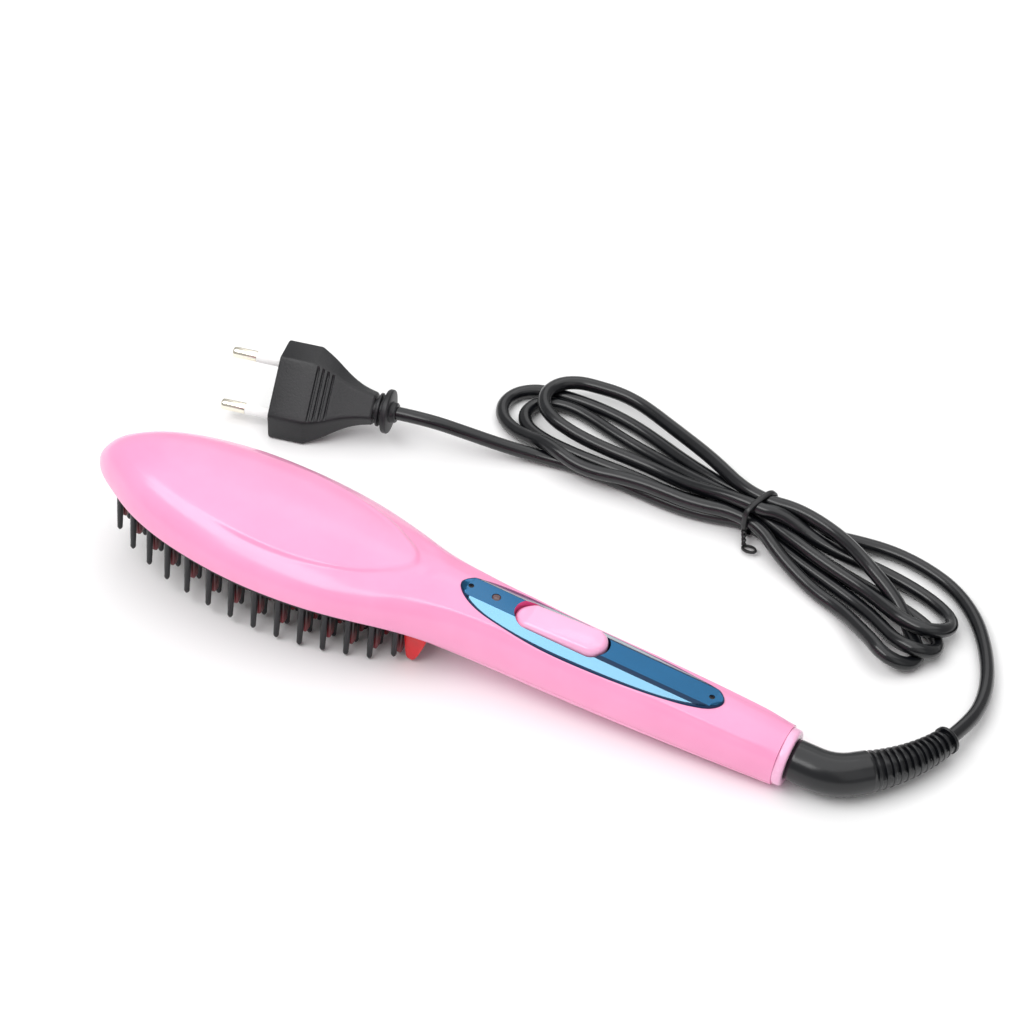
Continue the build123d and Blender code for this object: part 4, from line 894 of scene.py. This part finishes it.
for i, p in enumerate(path):
    q = path[min(i + 1, len(path) - 1)] - path[max(i - 1, 0)]
    tangent = q.normalized()
    side = tangent.cross(up0).normalized()
    upv = side.cross(tangent).normalized()
    s = lengths[i]
    d = s - ribs_from
    base = 6.85
    if s < 0.5:
        base = 6.45 + 0.4 * math.sin(s / 0.5 * math.pi / 2)
    if d > -4:
        base = float(np.interp(d, [-4, 0, 1.5, 4, 10, 20, 31.2], [6.85, 6.75, 5.9, 5.3, 4.75, 3.95, 3.25]))
    top_r = float(np.interp(d, [-4, 0, 2, 31.2], [6.85, 6.72, 6.5, 4.25])) if d > -4 else base
    rib = 0.0
    if 0.0 < d < 29.0:
        ph = (d - 1.2) / 2.3
        fr = ph - math.floor(ph)
        rib = float(smoothstep(0.0, 0.14, fr) * (1 - smoothstep(0.46, 0.60, fr)))
        if d < 0.15:
            rib = 1.0
    if d > 29.7:
        rib = 1.0
        top_r = 4.65 - 0.5 * max(0.0, (d - 30.6) / 0.6) ** 2
    ring = []
    for j in range(N_BOOT):
        a = 2 * math.pi * j / N_BOOT
        direction = side * math.cos(a) + upv * math.sin(a)
        # smooth spine along the outer, lower side
        off = abs(((math.degrees(a) - 345 + 180) % 360) - 180)
        spine = 1.0 - float(smoothstep(28, 38, off))
        r = base + (top_r - base) * max(rib, spine * 0.82 if 0 < d < 29.7 else rib)
        ring.append(tuple((p + direction * r) / 1000))
    rings.append(ring)
relief = Build()
# the sleeve turns in at both ends
first = [tuple((Vector(v) * 1000 - TAIL) * 0.6 / 1000 + TAIL / 1000) for v in rings[0]]
last = [tuple((Vector(v) * 1000 - BOOT_END) * 0.6 / 1000 + BOOT_END / 1000) for v in rings[-1]]
relief.rings([first] + rings + [last])
elbow = new_object("ribbed_elbow", relief.v, relief.f, "cord_set", BOOT, sharp=38,
                   replaces=("strain_relief",))

# ---------------------------------------------------------------- tie
TA = math.radians(-14.0)
TIE_AT = Vector((69.046, 101.3, 0.0))
TIE_ALONG = Vector((math.cos(TA), math.sin(TA), 0))
TIE_ACROSS = Vector((-math.sin(TA), math.cos(TA), 0))


def tie_point(u, v, z):
    """u along the hank, v across it, mm."""
    return TIE_AT + TIE_ALONG * u + TIE_ACROSS * v + Vector((0, 0, z))


def band(build, points, width, thick, closed, normal_from):
    """Flat flexible band along points, rounded edges."""
    n = len(points)
    rings = []
    for i, p in enumerate(points):
        a, c = (points[(i - 1) % n], points[(i + 1) % n]) if closed else (points[max(i - 1, 0)], points[min(i + 1, n - 1)])
        t = (c - a).normalized()
        nn = (p - normal_from(i)).normalized()
        nn = (nn - t * nn.dot(t)).normalized()
        b = t.cross(nn).normalized()
        ring = []
        for j in range(12):
            q = 2 * math.pi * j / 12
            cu, cv = math.cos(q), math.sin(q)
            cu = math.copysign(abs(cu) ** 0.5, cu)
            cv = math.copysign(abs(cv) ** 0.8, cv)
            ring.append(tuple((p + b * (cu * width / 2) + nn * (cv * thick / 2)) / 1000))
        rings.append(ring)
    if closed:
        verts = [q for r in rings for q in r]
        m = 12
        faces = []
        for i in range(n):
            for j in range(m):
                a0, a1 = i * m + j, i * m + (j + 1) % m
                b0, b1 = ((i + 1) % n) * m + j, ((i + 1) % n) * m + (j + 1) % m
                faces.append((a0, a1, b1, b0))
        build.add(verts, faces)
    else:
        build.rings(rings)


tie = Build()
for turn_i, (shift, grow) in enumerate(((-0.9, 0.0), (0.9, 0.12))):
    pts = []
    for i in range(72):
        a = 2 * math.pi * i / 72
        c, s_ = math.cos(a), math.sin(a)
        v = 8.0 * math.copysign(abs(c) ** 0.62, c)
        z = 7.15 + (6.6 + grow) * math.copysign(abs(s_) ** 0.62, s_)
        pts.append(tie_point(shift * math.cos(a * 0.5 if turn_i else a * 0.5 + math.pi) + 0.25 * math.sin(2 * a), v, max(z, 0.5)))
    band(tie, pts, 2.0, 0.9, True, lambda i: tie_point(0, 0, 7.15))
# twisted ends and the small loop they finish in, near side
for k in (0, 1):
    pts = []
    for i in range(26):
        t = i / 25
        a = 2 * math.pi * 1.6 * t + k * math.pi
        core = tie_point(0.4 + 2.4 * t, -8.4 - 2.6 * t, 4.6 - 3.0 * t)
        pts.append(core + TIE_ALONG * (0.42 * math.cos(a)) + Vector((0, 0, 0.42 * math.sin(a))))
    band(tie, pts, 1.1, 0.7, False, lambda i: tie_point(0, 0, -20))
pts = []
for i in range(40):
    a = 2 * math.pi * i / 40
    pts.append(tie_point(5.2 - 2.6 * math.cos(a), -11.3 - 1.4 * math.sin(a), 1.3 - 0.5 * math.cos(a)))
band(tie, pts, 1.1, 0.8, True, lambda i: tie_point(5.2, -11.3, 0.9))
new_object("hank_tie", tie.v, tie.f, "cord_set", TIE, sharp=60, replaces=("cord_tie",))

# ---------------------------------------------------------------- plug
PA = math.radians(189.97)
PDIR = Vector((math.cos(PA), math.sin(PA), 0))
PZ = 35.3 / 2 * math.sqrt(0.5)
EXIT = Vector((-59.9039, 83.98, PZ))
FACE = EXIT + PDIR * 43.6
PSIDE = (Vector((PDIR.y, -PDIR.x, 0)) + Vector((0, 0, 1))).normalized()
PUP = PDIR.cross(PSIDE).normalized()


def on_plug(x, y, d):
    return tuple((FACE - PDIR * d + PSIDE * x + PUP * y) / 1000)


EDGE_POINTS = (14, 8, 8, 14, 8, 8)


def hexagon(w, f, t, groove=0.0, r=0.9):
    """Rounded flat hexagon, more points along its edges, grooved on its broad faces."""
    corners = [(f, t), (-f, t), (-w, 0), (-f, -t), (f, -t), (w, 0)]
    out = []
    for i in range(6):
        p0, p1, p2 = corners[i - 1], corners[i], corners[(i + 1) % 6]
        a = Vector((p0[0] - p1[0], p0[1] - p1[1]))
        c = Vector((p2[0] - p1[0], p2[1] - p1[1]))
        rr = min(r, a.length * 0.3, c.length * 0.3)
        s_, e_ = Vector(p1) + a.normalized() * rr, Vector(p1) + c.normalized() * rr
        for q in range(5):
            u = q / 4
            out.append(((1 - u) ** 2 * s_ + 2 * u * (1 - u) * Vector(p1) + u ** 2 * e_, i))
        nxt0, nxt1 = corners[(i + 1) % 6], corners[(i + 2) % 6]
        nc = Vector((p1[0] - nxt0[0], p1[1] - nxt0[1]))
        nd = Vector((nxt1[0] - nxt0[0], nxt1[1] - nxt0[1]))
        nr = min(r, nc.length * 0.3, nd.length * 0.3)
        goal = Vector(nxt0) + nc.normalized() * nr
        m = EDGE_POINTS[i]
        for q in range(1, m):
            out.append((e_ + (goal - e_) * (q / m), i))
    pts = []
    for p, i in out:
        x, y = p
        if groove and abs(x) < f - 0.5 and abs(abs(y) - t) < 0.25:
            y -= math.copysign(groove * float(smoothstep(f - 0.5, f - 1.3, abs(x))), y)
        pts.append((x, y))
    return pts


PROFILE = [(0.0, 17.05, 10.35, 6.35), (0.25, 17.45, 10.7, 6.68), (0.7, 17.62, 10.8, 6.83), (12.2, 17.62, 10.8, 6.83),
           (12.8, 17.5, 10.75, 6.8), (18.0, 14.6, 9.4, 6.3), (25.0, 9.9, 6.6, 5.3), (31.5, 6.9, 4.8, 4.5),
           (35.2, 6.0, 4.2, 4.1), (35.7, 5.6, 3.9, 3.8)]
PR = np.array(PROFILE)
ds = np.unique(np.round(np.r_[PR[:, 0], np.arange(12.8, 35.2, 0.2)], 3))
dq = cubic(PR[4:9, 0], PR[4:9, 1:], np.clip(ds, 12.8, 35.2))
body = Build()
rings = []
for k, d in enumerate(ds):
    w_, f_, t_ = (dq[k] if 12.8 <= d <= 35.2 else [np.interp(d, PR[:, 0], PR[:, j]) for j in (1, 2, 3)])
    g = 0.0
    for gd in (14.4, 16.3, 18.2, 20.1):
        g = max(g, 0.55 * float(1 - smoothstep(0.2, 0.52, abs(d - gd))))
    rings.append([on_plug(x, y, d) for x, y in hexagon(w_, f_, t_, g)])
body.rings(rings)
# neck with its fin and flange
neck = []
for d, rx, ry in ((35.0, 3.7, 3.7), (36.4, 3.7, 3.7), (36.6, 4.0, 3.9), (36.75, 5.6, 4.4), (37.0, 5.9, 4.5), (37.6, 5.9, 4.5),
                  (37.85, 5.5, 4.3), (38.0, 4.0, 3.8), (38.6, 3.75, 3.75), (38.95, 3.9, 3.9), (39.1, 6.8, 6.0),
                  (39.4, 7.5, 6.6), (39.9, 7.8, 6.8), (41.0, 7.8, 6.8), (41.4, 7.5, 6.5), (41.6, 6.8, 6.0),
                  (41.65, 3.9, 3.9), (42.0, 3.7, 3.7), (43.2, 3.55, 3.55), (43.6, 3.2, 3.2), (43.6, 2.45, 2.45)):
    neck.append([on_plug(rx * math.cos(2 * math.pi * j / 40), ry * math.sin(2 * math.pi * j / 40), d) for j in range(40)])
body.rings(neck)
# raised collars where the pins leave the face
for sx in (-9.3, 9.3):
    lathe([(0.0, 0.0030), (0.0002, 0.0029), (0.00025, 0.0021)], on_plug(sx, 0, 0), PDIR, 28, body)
plug = new_object("two_pin_plug", body.v, body.f, "cord_set", PLUG, sharp=26, replaces=("plug_body",))

pins, sleeves = Build(), Build()
for sx in (-9.3, 9.3):
    at0 = on_plug(sx, 0, 0)
    lathe([(d / 1000, r / 1000) for d, r in ((-9.0, 1.4), (10.02, 1.4), (10.04, 1.97), (10.3, 2.0), (17.9, 2.0), (18.4, 1.93),
                                             (18.75, 1.7), (18.93, 1.3), (19.0, 0.7), (19.0, 0.02))], at0, PDIR, 28, pins)
    lathe([(d / 1000, r / 1000) for d, r in ((0.0, 1.45), (0.0, 2.0), (9.7, 2.0), (9.95, 1.95), (10.0, 1.8), (10.0, 1.45))],
          at0, PDIR, 28, sleeves)
pins_ob = new_object("round_pins", pins.v, pins.f, "cord_set", NICKEL, sharp=50, replaces=("plug_pins",))
sleeves_ob = new_object("insulating_sleeves", sleeves.v, sleeves.f, "cord_set", SLEEVE, sharp=50,
                        replaces=("pin_sleeves",))

mains_cord.data.materials.append(RUBBER)

# ---------------------------------------------------------------- finishes of the CAD pieces that stay
# the heat plate takes the near-black red of painted shade
for node, finish in {
        "rocker_pin": STEEL, "control_pcb": BOARD, "display_module": BLACKC, "rocker_switch": BLACKC,
        "mains_capacitor": YELLOW, "triac": BLACKC, "pcb_fuse": GLASSY, "heat_plate": PLATE, "bristle_carrier": CARRIER,
        "heater_elements": ALUMINA, "insulation_sheet": MICA, "heater_clamp": STEEL, "thermal_fuse": STEEL,
        "thermistor": BLACKC, "plate_screws": STEEL, "handle_screws": STEEL, "heater_leads": WIRE,
        "swivel_rotor": BOOT, "slip_rings": BRASS, "swivel_contacts": BRASS}.items():
    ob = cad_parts[node]
    if not ob.data.materials:
        ob.data.materials.append(finish)
    for s in ob.material_slots:
        s.material = finish

# ---------------------------------------------------------------- floor, light
floor_mesh = bpy.data.meshes.new("floor")
floor_mesh.from_pydata([(-4, -4, 0), (4, -4, 0), (4, 4, 0), (-4, 4, 0)], [], [(0, 1, 2, 3)])
floor = bpy.data.objects.new("floor", floor_mesh)
floor.location.z = -0.0003
bpy.context.scene.collection.objects.link(floor)
floor_mesh.materials.append(material("pale_floor", (0.94, 0.94, 0.94), 0.75, vary=0.008, scale=6, bump=0.02, specular=0.15))

world = bpy.data.worlds.new("studio")
bpy.context.scene.world = world
world.use_nodes = True
world.node_tree.nodes["Background"].inputs["Color"].default_value = (1, 1, 1, 1)
world.node_tree.nodes["Background"].inputs["Strength"].default_value = 0.42


def area(name, at_point, aim, size, power, colour=(1, 1, 1), size_y=None):
    data = bpy.data.lights.new(name, "AREA")
    data.shape = "RECTANGLE"
    data.size, data.size_y = size, size_y or size
    data.energy, data.color = power, colour
    ob = bpy.data.objects.new(name, data)
    bpy.context.scene.collection.objects.link(ob)
    ob.location = at_point
    ob.rotation_euler = (Vector(aim) - Vector(at_point)).to_track_quat("-Z", "Y").to_euler()


area("key", (-0.42, -0.62, 1.15), (0.0, 0.02, 0.02), 1.3, 9.5, size_y=0.5)
area("top", (0.15, 0.25, 2.2), (0.1, 0.1, 0.0), 2.6, 26.0)
area("fill", (0.9, -0.5, 0.7), (0.05, 0.02, 0.0), 0.8, 1.0)
area("rim", (-0.3, 1.0, 0.9), (0.0, 0.05, 0.0), 0.9, 2.0)
bpy.context.scene.view_settings.view_transform = "Standard"
